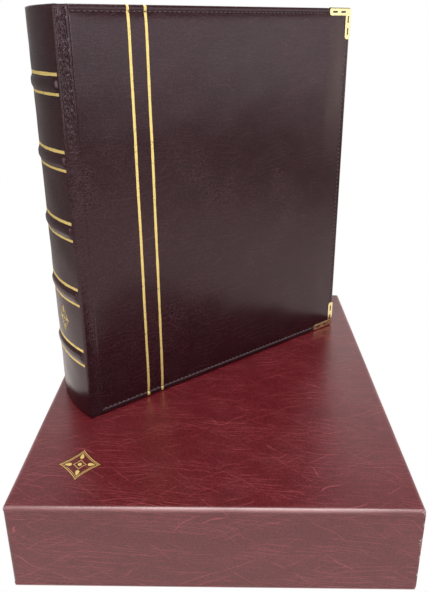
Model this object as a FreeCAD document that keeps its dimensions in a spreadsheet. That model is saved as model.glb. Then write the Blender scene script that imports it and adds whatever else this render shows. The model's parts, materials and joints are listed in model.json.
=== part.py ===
"""A padded ring-binder stamp album standing on the slipcase that it is kept in.

Millimetres and degrees. The frame has +Z up and its origin under the middle of the
slipcase, on the surface it lies on. The album is drawn in its own frame and then
stood on the slipcase: X runs from the spine to the fore-edge, Y from the front cover
to the rear cover with 0 in the middle of the thickness, and Z up from the lower edge.
"""
import FreeCAD, Part
import Sketcher
import math
import os

doc = FreeCAD.newDocument("stamp_album")

SIZES = {
    # Album seen from outside, measured over the hem of the covers
    "album_height": 325.0,
    "cover_width": 281.0,
    "album_thickness": 60.0,
    # Where the middle of the spine stands on the slipcase
    "album_x": -121.24,
    "album_y": -47.91,
    "album_turn": 35.85,
    "stand_gap": 0.2,
    # Build-up of a padded cover
    "joint_width": 9.0,
    "cover_board": 2.5,
    "cover_skin": 0.8,
    "turn_in": 15.0,
    "endpaper": 0.3,
    "hem_width": 7.0,
    "pad_shoulder": 3.0,
    "pad_shoulder_rise": 1.2,
    "pad_slope": 9.0,
    "pad_rise": 2.0,
    # Gold foil
    "foil": 0.1,
    "foil_width": 2.2,
    "foil_line_near": 54.0,
    "foil_line_far": 68.0,
    # Metal corners
    "corner_leg": 27.0,
    "corner_leg_width": 6.5,
    "corner_thickness": 0.6,
    "corner_slot_first": 6.5,
    "corner_slot_pitch": 9.8,
    "corner_slot_length": 7.8,
    "corner_slot_width": 2.2,
    # Spine
    "spine_rise": 4.5,
    "spine_board": 2.5,
    "spine_lining": 0.3,
    "spine_board_inset": 1.5,
    "band_height": 9.6,
    "band_rise": 1.6,
    "band_inset": 4.0,
    "band_pair": 13.7,
    "spine_foil_inset": 3.0,
    # Ring mechanism: arched base plate
    "base_end_room": 17.5,
    "base_half_width": 11.0,
    "base_leg": 4.0,
    "base_rise": 2.5,
    "base_thickness": 0.8,
    "base_lip": 1.4,
    "base_lip_top": 1.5,
    # Ring mechanism: hinge plates and half rings
    "plate_thickness": 1.0,
    "plate_play": 0.2,
    "plate_parting": 0.3,
    "plate_end_play": 2.6,
    "ring_radius": 19.0,
    "ring_wire": 3.0,
    "ring_end_room": 25.0,
    "ring_sweep": 158.0,
    "ring_tip": 0.3,
    "ring_leg": 4.6,
    "ring_slot_play": 0.6,
    "ring_swing_room": 0.6,
    # Ring mechanism: rivets
    "rivet_shank": 4.0,
    "rivet_head": 7.0,
    "rivet_head_height": 1.5,
    "rivet_fit": 0.05,
    "rivet_tail_gap": 0.3,
    "rivet_notch_play": 0.9,
    # Ring mechanism: opening levers
    "lever_width": 9.6,
    "lever_thickness": 1.2,
    "lever_setback": 5.0,
    "lever_pivot_height": 2.4,
    "lever_boss": 1.8,
    "lever_floor_gap": 0.3,
    "lever_toe": 2.0,
    "lever_toe_width": 4.0,
    "lever_toe_play": 0.3,
    "lever_overhang": 8.0,
    "lever_tab": 12.0,
    "lever_side_room": 1.2,
    "lever_pin": 1.6,
    "lever_pin_fit": 0.05,
    # Leaves
    "leaf_width": 240.0,
    "leaf_end_room": 6.5,
    "leaf_card": 0.6,
    "leaf_pitch": 4.0,
    "leaf_play": 0.3,
    "slot_margin": 6.0,
    "slot_length": 12.0,
    "slot_width": 4.0,
    "strip_film": 0.2,
    "strip_gap": 5.0,
    "strip_edge": 4.0,
    # Slipcase
    "case_board": 2.6,
    "case_sheet": 0.8,
    "case_wall_sheet": 0.5,
    "case_lining": 0.3,
    "room_end": 4.7,
    "room_height": 1.2,
    "room_thickness": 1.6,
}
BAND_COUNT = 5
RING_COUNT = 4
LEAVES_PER_SIDE = 4
STRIPS_PER_FACE = 5
CORNER_SLOTS = 2
FRONT, REAR = -1, 1
UPPER, LOWER = 1, -1

sheet = doc.addObject("Spreadsheet::Sheet", "dims")
for row, (alias, value) in enumerate(SIZES.items(), start=1):
    sheet.set(f"A{row}", alias.replace("_", " "))
    sheet.set(f"B{row}", str(value))
    sheet.setAlias(f"B{row}", alias)
doc.recompute()


class Size:
    """A length that carries its number and the sheet expression that drives it."""

    def __init__(self, number, text):
        self.number = number
        self.text = text

    def __add__(self, other):
        other = as_size(other)
        return Size(self.number + other.number, f"({self.text} + {other.text})")

    def __sub__(self, other):
        other = as_size(other)
        return Size(self.number - other.number, f"({self.text} - {other.text})")

    def __mul__(self, other):
        other = as_size(other)
        return Size(self.number * other.number, f"({self.text} * {other.text})")

    def __truediv__(self, other):
        other = as_size(other)
        return Size(self.number / other.number, f"({self.text} / {other.text})")

    def __radd__(self, other):
        return as_size(other) + self

    def __rsub__(self, other):
        return as_size(other) - self

    def __rmul__(self, other):
        return as_size(other) * self

    def __neg__(self):
        return Size(-self.number, f"(-{self.text})")


def as_size(value):
    """Let a plain number stand where a size is expected."""
    return value if isinstance(value, Size) else Size(value, f"({value})")


def size(alias):
    """The driving dimension kept under this alias in the sheet."""
    return Size(sheet.get(alias), f"dims.{alias}")


def root(value):
    return Size(math.sqrt(value.number), f"sqrt({value.text})")


def cosine(degrees):
    return Size(math.cos(math.radians(degrees.number)), f"cos({degrees.text} * 1 deg)")


def sine(degrees):
    return Size(math.sin(math.radians(degrees.number)), f"sin({degrees.text} * 1 deg)")


def bind(obj, path, value):
    obj.setExpression(path, as_size(value).text)


def place(obj, x, y, z):
    """Bind where an object's origin lies."""
    for axis, value in zip("xyz", (x, y, z)):
        bind(obj, f"Placement.Base.{axis}", value)


def turn(obj, axis, degrees):
    """Turn an object about an axis through its origin, by a size or a plain angle."""
    obj.Placement = FreeCAD.Placement(
        obj.Placement.Base, FreeCAD.Rotation(FreeCAD.Vector(*axis), as_size(degrees).number))
    if isinstance(degrees, Size):
        obj.setExpression("Placement.Rotation.Angle", f"{degrees.text} * 1 deg")


X_AXIS, Y_AXIS, Z_AXIS = (1, 0, 0), (0, 1, 0), (0, 0, 1)
QUARTER = 90


def block(name, x, y, z):
    """A box from the first to the second value of each span."""
    box = doc.addObject("Part::Box", name)
    for prop, span in zip(("Length", "Width", "Height"), (x, y, z)):
        bind(box, prop, span[1] - span[0])
    place(box, x[0], y[0], z[0])
    return box


def rod(name, radius, length, start, axis):
    """A cylinder that starts at a point and runs along X, Y or Z."""
    cylinder = doc.addObject("Part::Cylinder", name)
    bind(cylinder, "Radius", radius)
    bind(cylinder, "Height", length)
    if axis == X_AXIS:
        turn(cylinder, Y_AXIS, QUARTER)
    if axis == Y_AXIS:
        turn(cylinder, X_AXIS, -QUARTER)
    place(cylinder, *start)
    return cylinder


def fuse(name, members):
    joined = doc.addObject("Part::MultiFuse", name)
    joined.Shapes = members
    return joined


def group(name, members):
    """Separate solids that share one node."""
    several = doc.addObject("Part::Compound", name)
    several.Links = members
    return several


def cut(name, base, tools):
    result = doc.addObject("Part::Cut", name)
    result.Base = base
    result.Tool = tools[0] if len(tools) == 1 else fuse(f"{name}_tools", tools)
    return result


def add_outline(sketch, corners, arcs):
    """Draw a closed outline whose every corner is bound to the sheet.

    arcs maps the number of an edge to (centre_x, counter_clockwise). The two ends of
    such an edge mirror each other, so the centre lies half-way between them.
    """
    count = len(corners)
    points = [FreeCAD.Vector(as_size(x).number, as_size(y).number, 0) for x, y in corners]
    first_ends, last_ends = [], []
    for edge, start in enumerate(points):
        end = points[(edge + 1) % count]
        if edge not in arcs:
            geometry = sketch.addGeometry(Part.LineSegment(start, end))
            first_ends.append((geometry, 1))
            last_ends.append((geometry, 2))
            continue
        centre_x, counter_clockwise = arcs[edge]
        centre = FreeCAD.Vector(centre_x.number, (start.y + end.y) / 2, 0)
        circle = Part.Circle(centre, FreeCAD.Vector(0, 0, 1), (start - centre).Length)
        from_point, to_point = (start, end) if counter_clockwise else (end, start)
        angles = [math.atan2(p.y - centre.y, p.x - centre.x) for p in (from_point, to_point)]
        if angles[1] < angles[0]:
            angles[1] += 2 * math.pi
        geometry = sketch.addGeometry(Part.ArcOfCircle(circle, *angles))
        first_ends.append((geometry, 1 if counter_clockwise else 2))
        last_ends.append((geometry, 2 if counter_clockwise else 1))
        number = sketch.addConstraint(
            Sketcher.Constraint("DistanceX", -1, 1, geometry, 3, centre_x.number))
        bind(sketch, f"Constraints[{number}]", centre_x)
    for edge in range(count):
        sketch.addConstraint(
            Sketcher.Constraint("Coincident", *last_ends[edge], *first_ends[(edge + 1) % count]))
    for kind, axis in (("DistanceX", 0), ("DistanceY", 1)):
        for end, corner in zip(first_ends, corners):
            value = as_size(corner[axis])
            number = sketch.addConstraint(Sketcher.Constraint(kind, -1, 1, *end, value.number))
            bind(sketch, f"Constraints[{number}]", value)


def new_sketch(body, name, plane, offset):
    """A sketch on one of the body's own planes, moved along that plane's normal."""
    sketch = body.newObject("Sketcher::SketchObject", name)
    support = next(f for f in body.Origin.OriginFeatures if f.Role == plane)
    sketch.AttachmentSupport = [(support, "")]
    sketch.MapMode = "FlatFace"
    bind(sketch, "AttachmentOffset.Base.z", offset)
    return sketch


def prism(name, corners, arcs, z):
    """A body padded upwards from an outline in X and Y."""
    body = doc.addObject("PartDesign::Body", name)
    sketch = new_sketch(body, f"{name}_outline", "XY_Plane", z[0])
    add_outline(sketch, corners, arcs)
    pad = body.newObject("PartDesign::Pad", f"{name}_pad")
    pad.Profile = sketch
    bind(pad, "Length", z[1] - z[0])
    return body


nodes = {}


def keep(name, obj):
    """Hand an object in as a node of the part."""
    obj.Label = name
    nodes[name] = obj


def stand(name, obj, corner=(0, 0, 0)):
    """Hand in a piece of the album, moved from the album's frame to its place.

    corner is where the object's own origin lies in the album's frame.
    """
    x, y, z = (as_size(value) for value in corner)
    angle = size("album_turn")
    turn(obj, Z_AXIS, angle)
    place(obj,
          size("album_x") + cosine(angle) * x - sine(angle) * y,
          size("album_y") + sine(angle) * x + cosine(angle) * y,
          album_foot + z)
    keep(name, obj)


def album_block(name, x, y, z):
    """A plain box of the album that is a node by itself."""
    stand(name, block(f"{name}_box", x, y, z), (x[0], y[0], z[0]))


# Sizes that several pieces share
height = size("album_height")
width = size("cover_width")
half_thickness = size("album_thickness") / 2
skin = size("cover_skin")
joint = size("joint_width")
metal = size("corner_thickness")
mid_height = height / 2
cover_depth = skin * 2 + size("cover_board")

case_wall = size("case_sheet") + size("case_board") + size("case_lining")
case_length = case_wall + width + metal + size("room_end")
case_depth = case_wall * 2 + height + metal * 2 + size("room_height")
case_height = case_wall * 2 + half_thickness * 2 + size("pad_rise") * 2 + size("room_thickness")
album_foot = case_height + metal + size("stand_gap")


def make_slipcase():
    """A five-sided box open at its +X end, of board covered with leatherette."""
    half_x, half_y = case_length / 2, case_depth / 2
    sheet_cover, board = size("case_sheet"), size("case_board")
    wall_sheet, lining = size("case_wall_sheet"), size("case_lining")
    board_x = (sheet_cover - half_x, half_x - sheet_cover)
    board_y = (sheet_cover - half_y, half_y - sheet_cover)
    low = (sheet_cover, sheet_cover + board)
    high = (case_height - sheet_cover - board, case_height - sheet_cover)
    wall_z = (low[1], high[0])
    inner_x = board_x[0] + board
    inner_y = (board_y[0] + board, board_y[1] - board)

    top = block("case_top_board", board_x, board_y, high)
    bottom = block("case_bottom_board", board_x, board_y, low)
    keep("slipcase_top_board", top)
    keep("slipcase_bottom_board", bottom)
    keep("slipcase_side_board",
         block("case_side_board", (board_x[0], inner_x), board_y, wall_z))
    keep("slipcase_front_board",
         block("case_front_board", (inner_x, board_x[1]), (board_y[0], inner_y[0]), wall_z))
    keep("slipcase_back_board",
         block("case_back_board", (inner_x, board_x[1]), (inner_y[1], board_y[1]), wall_z))

    full_x, full_y = (-half_x, half_x), (-half_y, half_y)
    upper = block("case_top_wrap", full_x, full_y, (high[0], case_height))
    lower = block("case_bottom_wrap", full_x, full_y, (as_size(0), low[1]))
    top_room = block("case_top_room", board_x, board_y, high)
    bottom_room = block("case_bottom_room", board_x, board_y, low)
    keep("slipcase_top_sheet", cut("case_top_sheet", upper, [top_room]))
    keep("slipcase_bottom_sheet", cut("case_bottom_sheet", lower, [bottom_room]))

    band_x = (board_x[0] - wall_sheet, board_x[1] + wall_sheet)
    band_y = (board_y[0] - wall_sheet, board_y[1] + wall_sheet)
    band = block("case_band_outside", band_x, band_y, wall_z)
    walls = block("case_band_walls", board_x, board_y, wall_z)
    mouth = block("case_band_mouth", (board_x[0], half_x), inner_y, wall_z)
    keep("slipcase_wall_band", cut("case_wall_band", band, [walls, mouth]))

    paper = block("case_paper_outside", (inner_x, board_x[1]), inner_y, wall_z)
    cavity = block("case_paper_cavity", (inner_x + lining, half_x),
                   (inner_y[0] + lining, inner_y[1] - lining), (wall_z[0] + lining, wall_z[1] - lining))
    keep("slipcase_lining", cut("case_paper", paper, [cavity]))


def cover_y(side, outer, inner):
    """The Y span of a layer given by its depths under the hem's outer face."""
    near, far = half_thickness - outer, half_thickness - inner
    return (-near, -far) if side == FRONT else (far, near)


def frustum(name, side, depths, insets):
    """A pad layer: a flat pyramid between two rectangles inset from the cover's edges."""
    wedge = doc.addObject("Part::Wedge", name)
    span = cover_y(side, depths[1], depths[0])
    bind(wedge, "Ymin", span[0])
    bind(wedge, "Ymax", span[1])
    ends = (insets[1], insets[0]) if side == FRONT else (insets[0], insets[1])
    for suffix, inset in zip(("", "2"), ends):
        bind(wedge, f"X{suffix}min", joint + inset)
        bind(wedge, f"X{suffix}max", width - inset)
        bind(wedge, f"Z{suffix}min", inset)
        bind(wedge, f"Z{suffix}max", height - inset)
    return wedge


def padding(name, side, base_depth):
    """The crowned pad: steep sides at the hem, then a gentle slope to its flat middle."""
    hem = size("hem_width")
    shoulder = hem + size("pad_shoulder")
    crest = shoulder + size("pad_slope")
    knee = base_depth - size("pad_shoulder_rise")
    top = base_depth - size("pad_rise")
    return fuse(name, [
        frustum(f"{name}_sides", side, (base_depth, knee), (hem, shoulder)),
        frustum(f"{name}_crown", side, (knee, top), (shoulder, crest))])


def make_cover(word, side):
    """Board, padding, skin and endpaper of one cover."""
    turn_in = size("turn_in") + skin
    board_x, board_z = (joint + skin, width - skin), (skin, height - skin)
    board_y = cover_y(side, skin, skin + size("cover_board"))
    window_x, window_z = (joint + turn_in, width - turn_in), (turn_in, height - turn_in)
    window_y = cover_y(side, skin + size("cover_board"), cover_depth)
    paper_y = cover_y(side, skin + size("cover_board"), skin + size("cover_board") + size("endpaper"))

    album_block(f"{word}_board", board_x, board_y, board_z)
    stand(f"{word}_padding", padding(f"{word}_foam", side, skin))
    album_block(f"{word}_endpaper", window_x, paper_y, window_z)

    rim_y = cover_y(side, as_size(0), cover_depth)
    rim = block(f"{word}_rim", (joint, width), rim_y, (as_size(0), height))
    outside = fuse(f"{word}_outside", [rim, padding(f"{word}_crown", side, as_size(0))])
    inside = [block(f"{word}_board_room", board_x, board_y, board_z),
              padding(f"{word}_foam_room", side, skin),
              block(f"{word}_window", window_x, window_y, window_z)]
    stand(f"{word}_skin", cut(f"{word}_leatherette", outside, inside))


def make_corner(word, side, end):
    """A folded metal corner: two slotted L leaves joined by walls along both edges."""
    level = "upper" if end == UPPER else "lower"
    name = f"{word}_{level}_metal"
    leg, leg_width = size("corner_leg"), size("corner_leg_width")
    edge = height if end == UPPER else as_size(0)

    def x_span(inner, outer):
        return (width - inner, width - outer)

    def z_span(inner, outer):
        return (edge - inner, edge - outer) if end == UPPER else (edge + outer, edge + inner)

    zero = as_size(0)
    leaves = []
    for leaf, depths in (("outer", (-metal, zero)), ("inner", (cover_depth, cover_depth + metal))):
        leaf_y = cover_y(side, *depths)
        leaves.append(block(f"{name}_{leaf}_across", x_span(leg, zero), leaf_y, z_span(leg_width, zero)))
        leaves.append(block(f"{name}_{leaf}_along", x_span(leg_width, zero), leaf_y, z_span(leg, zero)))
    wall_y = cover_y(side, -metal, cover_depth + metal)
    leaves.append(block(f"{name}_end_wall", x_span(leg, -metal), wall_y, z_span(zero, -metal)))
    leaves.append(block(f"{name}_fore_wall", x_span(zero, -metal), wall_y, z_span(leg, -metal)))

    slots = []
    slot_y = cover_y(side, -metal, zero)
    across = ((leg_width + size("corner_slot_width")) / 2, (leg_width - size("corner_slot_width")) / 2)
    for number in range(CORNER_SLOTS):
        start = size("corner_slot_first") + size("corner_slot_pitch") * number
        along = (start + size("corner_slot_length"), start)
        slots.append(block(f"{name}_slot_across_{number}", x_span(*along), slot_y, z_span(*across)))
        slots.append(block(f"{name}_slot_along_{number}", x_span(*across), slot_y, z_span(*along)))
    stand(f"{word}_{level}_corner", cut(name, fuse(f"{name}_folded", leaves), slots))


def make_front_foil():
    """The pair of gold lines stamped on the front cover beside the spine."""
    crest = size("hem_width") + size("pad_shoulder") + size("pad_slope")
    foil_y = cover_y(FRONT, -size("pad_rise") - size("foil"), -size("pad_rise"))
    lines = []
    for alias in ("foil_line_near", "foil_line_far"):
        middle, half = size(alias), size("foil_width") / 2
        across = (middle - half, middle + half)
        lines.append(block(f"{alias}_strip", across, foil_y, (crest, height - crest)))
    stand("front_foil_lines", group("front_foil", lines))


# Arcs of the spine: the skin passes through both corners and rises between them
spine_rise = size("spine_rise")
spine_radius = (half_thickness * half_thickness + spine_rise * spine_rise) / (spine_rise * 2)
spine_centre = spine_radius - spine_rise
spine_inside = spine_radius - skin - size("spine_board") - size("spine_lining")


def arc_x(radius, y):
    """Where an arc about the spine's centre lies at a distance from the middle."""
    return spine_centre - root(radius * radius - y * y)


def arc_slab(name, radii, half_width, z):
    """A curved layer of the spine, between two radii."""
    inner, outer = (arc_x(radius, half_width) for radius in radii)
    corners = [(inner, -half_width), (outer, -half_width), (outer, half_width), (inner, half_width)]
    return prism(name, corners, {1: (spine_centre, False), 3: (spine_centre, True)}, z)


def band_heights():
    """The middles of the raised bands, which part the spine into equal panels."""
    return [height * number / (BAND_COUNT + 1) for number in range(1, BAND_COUNT + 1)]


def make_spine():
    """Board, raised bands, skin, foil lines and lining of the spine, and the joint strips."""
    under_skin = spine_radius - skin
    board_inside = under_skin - size("spine_board")
    full, inset = (as_size(0), height), size("spine_board_inset")
    board_z = (inset, height - inset)
    rivet_holes = [rod(f"spine_rivet_hole_{number}", size("rivet_shank") / 2 + size("rivet_fit"),
                       size("rivet_head") * 2, (spine_centre - under_skin - skin, as_size(0), z), X_AXIS)
                   for number, z in enumerate(rivet_heights())]
    board = arc_slab("spine_board_slab", (board_inside, under_skin), half_thickness - inset, board_z)
    lining = arc_slab("spine_lining_slab", (spine_inside, board_inside), half_thickness - inset * 2,
                      board_z)
    stand("spine_board", cut("spine_board_bored", board, rivet_holes))
    stand("spine_lining", cut("spine_lining_bored", lining, rivet_holes))

    strips, humps, lines, levels = [], [], [], [as_size(0)]
    band_half, band_width = size("band_height") / 2, half_thickness - size("band_inset")
    for number, middle in enumerate(band_heights()):
        strips.append(arc_slab(f"band_{number}", (under_skin, under_skin + size("band_rise")), band_width,
                               (middle - band_half, middle + band_half)))
        hump = (middle - band_half - skin, middle + band_half + skin)
        humps.append(arc_slab(f"band_hump_{number}", (under_skin, spine_radius + size("band_rise")),
                              band_width + skin, hump))
        levels += [hump[0], middle - band_half, middle + band_half, hump[1]]
        for end in (LOWER, UPPER):
            line = middle + size("band_pair") / 2 * end
            half = size("foil_width") / 2
            lines.append(arc_slab(f"band_line_{number}_{end + 1}",
                                  (spine_radius, spine_radius + size("foil")),
                                  half_thickness - size("spine_foil_inset"), (line - half, line + half)))
    levels.append(height)
    panels = [arc_slab(f"spine_panel_{number}", (under_skin, spine_radius), half_thickness - skin, span)
              for number, span in enumerate(zip(levels, levels[1:]))]
    raised = fuse("spine_skin_raised", panels + humps)
    leatherette = cut("spine_leatherette", raised, strips)
    # Left unrefined, so that no curved face has a hole in it and each one meshes cleanly
    raised.Refine = leatherette.Refine = False
    stand("spine_bands", group("spine_band_strips", strips))
    stand("spine_skin", leatherette)
    stand("spine_foil_lines", group("spine_foil", lines))

    for word, side in (("front", FRONT), ("rear", REAR)):
        album_block(f"{word}_joint_strip", (as_size(0), joint), cover_y(side, as_size(0), skin), full)


# Heights of the ring mechanism over the spine, along X
seat = arc_x(spine_inside, size("base_half_width"))
plate_low = seat + size("base_lip_top") + size("plate_play")
plate_high = plate_low + size("plate_thickness")
base_top = seat + size("base_leg") + size("base_rise")
ring_elbow = plate_high + size("ring_leg")
ring_root = size("ring_radius") * sine(size("ring_sweep"))
ring_centre = ring_elbow - size("ring_radius") * cosine(size("ring_sweep"))
wire_radius = size("ring_wire") / 2
pivot_x = seat + size("lever_pivot_height")
base_reach = height / 2 - size("base_end_room")
ring_pitch = (base_reach - size("ring_end_room")) * 2 / (RING_COUNT - 1)
pivot_reach = base_reach - size("lever_setback")


def ring_heights():
    middle = (RING_COUNT - 1) / 2
    return [mid_height + ring_pitch * (number - middle) for number in range(RING_COUNT)]


def rivet_heights():
    """One rivet midway between the outer two rings at each end."""
    return [mid_height + ring_pitch * end for end in (LOWER, UPPER)]


def make_base_plate():
    """The arched base plate with its lips, its slots for the rings and its lever ends."""
    outer, inner = size("base_half_width"), size("base_half_width") - size("base_thickness")
    lip = inner - size("base_lip")
    arch = (outer * outer + size("base_rise") * size("base_rise")) / (size("base_rise") * 2)
    centre = base_top - arch
    bore = arch - size("base_thickness")
    knee = seat + size("base_leg")
    inside = centre + root(bore * bore - inner * inner)
    lip_high = seat + size("base_lip_top")
    lip_low = lip_high - size("base_thickness")
    half = [(seat, outer), (seat, inner), (lip_low, inner), (lip_low, lip), (lip_high, lip),
            (lip_high, inner), (inside, inner)]
    corners = [(x, -y) for x, y in reversed(half)] + [(knee, -outer), (knee, outer)] + half
    # The outline starts inside the front leg, goes round the arch and comes back inside
    arcs = {len(half): (centre, True), len(corners) - 1: (centre, False)}
    span = (mid_height - base_reach, mid_height + base_reach)
    channel = prism("base_channel", corners, arcs, span)

    tools = []
    slot_y = (ring_root - wire_radius - size("ring_slot_play"),
              ring_root + wire_radius + size("ring_slot_play") + size("ring_swing_room"))
    slot_half = wire_radius + size("ring_slot_play")
    over = (plate_high + size("ring_slot_play"), base_top + size("base_thickness"))
    for number, z in enumerate(ring_heights()):
        slot_z = (z - slot_half, z + slot_half)
        tools.append(block(f"base_rear_slot_{number}", over, slot_y, slot_z))
        tools.append(block(f"base_front_slot_{number}", over, (-slot_y[1], -slot_y[0]), slot_z))
    for number, z in enumerate(rivet_heights()):
        tools.append(rod(f"base_rivet_hole_{number}", size("rivet_shank") / 2 + size("rivet_fit"),
                         size("rivet_head"), (plate_high, as_size(0), z), X_AXIS))
    mouth_half = size("lever_width") / 2 + size("lever_side_room")
    for end in (LOWER, UPPER):
        inner_end = mid_height + (pivot_reach - size("lever_boss") - size("lever_side_room")) * end
        outer_end = mid_height + (base_reach + size("base_thickness")) * end
        mouth_z = (outer_end, inner_end) if end == LOWER else (inner_end, outer_end)
        tools.append(block(f"base_mouth_{end + 1}", over, (-mouth_half, mouth_half), mouth_z))
        tools.append(rod(f"base_pin_hole_{end + 1}", size("lever_pin") / 2 + size("lever_pin_fit"),
                         outer * 2, (pivot_x, -outer, mid_height + pivot_reach * end), Y_AXIS))
    stand("ring_base_plate", cut("base_plate", channel, tools))


def make_rivets():
    """Two rivets that clamp the base plate to the spine board."""
    rivets = []
    tail = spine_centre - spine_radius + skin + size("rivet_tail_gap")
    for number, z in enumerate(rivet_heights()):
        shank = rod(f"rivet_shank_{number}", size("rivet_shank") / 2, base_top - tail,
                    (tail, as_size(0), z), X_AXIS)
        head = rod(f"rivet_head_{number}", size("rivet_head") / 2, size("rivet_head_height"),
                   (base_top, as_size(0), z), X_AXIS)
        rivets.append(fuse(f"rivet_{number}", [shank, head]))
    stand("ring_rivets", group("rivet_pair", rivets))


def make_hinge_plate(word, side):
    """A hinge plate that rolls on its round outer edge, notched round the rivets."""
    reach = pivot_reach - size("plate_end_play")
    plate_z = (mid_height - reach, mid_height + reach)
    round_edge = size("plate_thickness") / 2
    parting = size("plate_parting") / 2
    edge = hinge_edge()
    plate_y = (-edge, -parting) if side == FRONT else (parting, edge)
    flat = block(f"{word}_plate_flat", (plate_low, plate_high), plate_y, plate_z)
    bead = rod(f"{word}_plate_bead", round_edge, plate_z[1] - plate_z[0],
               (plate_low + round_edge, edge * side, plate_z[0]), Z_AXIS)
    notches = [rod(f"{word}_plate_notch_{number}", size("rivet_shank") / 2 + size("rivet_notch_play"),
                   size("plate_thickness") * 3,
                   (plate_low - size("plate_thickness"), as_size(0), z), X_AXIS)
               for number, z in enumerate(rivet_heights())]
    stand(f"{word}_hinge_plate", cut(f"{word}_plate", fuse(f"{word}_plate_blank", [flat, bead]), notches))


def hinge_edge():
    """How far from the middle the hinge plates turn on their round edges."""
    inside = size("base_half_width") - size("base_thickness")
    return inside - size("plate_play") - size("plate_thickness") / 2


def make_half_rings(word, side):
    """Four half rings of round wire, each an arc that bends into a short straight leg."""
    halves = []
    for number, z in enumerate(ring_heights()):
        name = f"{word}_ring_{number}"
        arc = doc.addObject("Part::Torus", f"{name}_arc")
        bind(arc, "Radius1", size("ring_radius"))
        bind(arc, "Radius2", wire_radius)
        arc.setExpression("Angle3", f"({size('ring_sweep').text} - {size('ring_tip').text}) * 1 deg")
        turn(arc, Z_AXIS, -size("ring_sweep") if side == FRONT else size("ring_tip"))
        place(arc, ring_centre, 0, z)
        elbow = doc.addObject("Part::Sphere", f"{name}_elbow")
        bind(elbow, "Radius", wire_radius)
        place(elbow, ring_elbow, ring_root * side, z)
        leg = rod(f"{name}_leg", wire_radius, size("ring_leg"), (plate_high, ring_root * side, z), X_AXIS)
        halves.append(fuse(name, [arc, elbow, leg]))
    stand(f"{word}_half_rings", group(f"{word}_rings", halves))


def make_lever(word, end):
    """An opening lever: a boss on its pin, a toe under the plates and a finger tab."""
    pivot_z = mid_height + pivot_reach * end
    low, high = seat + size("lever_floor_gap"), pivot_x + size("lever_boss")
    toe_high = plate_low - size("lever_toe_play")
    boss, tab_end = size("lever_boss"), size("lever_overhang")
    half, toe_half = size("lever_width") / 2, size("lever_toe_width") / 2

    def z_span(inner, outer):
        return (pivot_z + inner, pivot_z + outer) if end == UPPER else (pivot_z - outer, pivot_z - inner)

    across = (-half, half)
    arm = (high - size("lever_thickness"), high)
    blank = fuse(f"{word}_lever_blank", [
        block(f"{word}_lever_boss", (low, high), across, z_span(-boss, boss)),
        block(f"{word}_lever_toe", (low, toe_high), (-toe_half, toe_half),
              z_span(-boss - size("lever_toe"), -boss)),
        block(f"{word}_lever_arm", arm, across, z_span(-boss, tab_end)),
        block(f"{word}_lever_tab", (arm[0], pivot_x + size("lever_tab")), across,
              z_span(tab_end - size("lever_thickness"), tab_end))])
    bore = rod(f"{word}_lever_bore", size("lever_pin") / 2 + size("lever_pin_fit"), size("lever_width"),
               (pivot_x, -half, pivot_z), Y_AXIS)
    stand(f"{word}_lever", cut(f"{word}_lever_bored", blank, [bore]))


def make_lever_pins():
    outer = size("base_half_width")
    pins = [rod(f"lever_pin_{end + 1}", size("lever_pin") / 2, outer * 2,
                (pivot_x, -outer, mid_height + pivot_reach * end), Y_AXIS) for end in (LOWER, UPPER)]
    stand("lever_pins", group("lever_pin_pair", pins))


def make_leaf(word, side, number):
    """A punched card leaf that hangs on the rings, and its film strips on both faces."""
    name = f"{word}_leaf_{number}"
    card, film = size("leaf_card"), size("strip_film")
    middle = size("leaf_pitch") * (LEAVES_PER_SIDE - number + 0.5)
    far_face = middle + card / 2
    wire_inside = size("ring_radius") - wire_radius
    slot_start = ring_centre + root(wire_inside * wire_inside - far_face * far_face) - size("leaf_play")
    bound = slot_start - size("slot_margin")
    hang = wire_radius + size("leaf_play") - size("slot_width") / 2
    leaf_z = (size("leaf_end_room") + hang, height - size("leaf_end_room") + hang)
    leaf_x = (bound, bound + size("leaf_width"))

    body = doc.addObject("PartDesign::Body", f"{name}_card")
    face = -(middle * side + card / 2)
    outline = new_sketch(body, f"{name}_outline", "XZ_Plane", face)
    heights = (leaf_z[0], leaf_z[0], leaf_z[1], leaf_z[1])
    corners = list(zip(leaf_x + leaf_x[::-1], heights))
    add_outline(outline, corners, {})
    pad = body.newObject("PartDesign::Pad", f"{name}_pad")
    pad.Profile = outline
    bind(pad, "Length", card)

    slot_half = size("slot_width") / 2
    ends = (slot_start + slot_half, slot_start + size("slot_length") - slot_half)
    slots = new_sketch(body, f"{name}_slots", "XZ_Plane", face)
    for z in ring_heights():
        low, high = z + hang - slot_half, z + hang + slot_half
        add_outline(slots, [(ends[0], low), (ends[1], low), (ends[1], high), (ends[0], high)],
                    {1: (ends[1], True), 3: (ends[0], True)})
    pocket = body.newObject("PartDesign::Pocket", f"{name}_punch")
    pocket.Profile = slots
    pocket.Reversed = True
    bind(pocket, "Length", card)
    stand(name, body)

    strips = []
    strip_x = (slot_start + size("slot_length") + size("strip_edge"), leaf_x[1] - size("strip_edge"))
    strip_room = leaf_z[1] - leaf_z[0] - size("strip_edge") * 2
    strip_pitch = (strip_room + size("strip_gap")) / STRIPS_PER_FACE
    for face_side in (FRONT, REAR):
        near = middle * side + card / 2 * face_side
        far = near + film * face_side
        strip_y = (far, near) if face_side == FRONT else (near, far)
        for row in range(STRIPS_PER_FACE):
            low = leaf_z[0] + size("strip_edge") + strip_pitch * row
            strips.append(block(f"{name}_strip_{face_side + 1}_{row}", strip_x, strip_y,
                                (low, low + strip_pitch - size("strip_gap"))))
    stand(f"{name}_strips", group(f"{name}_films", strips))


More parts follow.
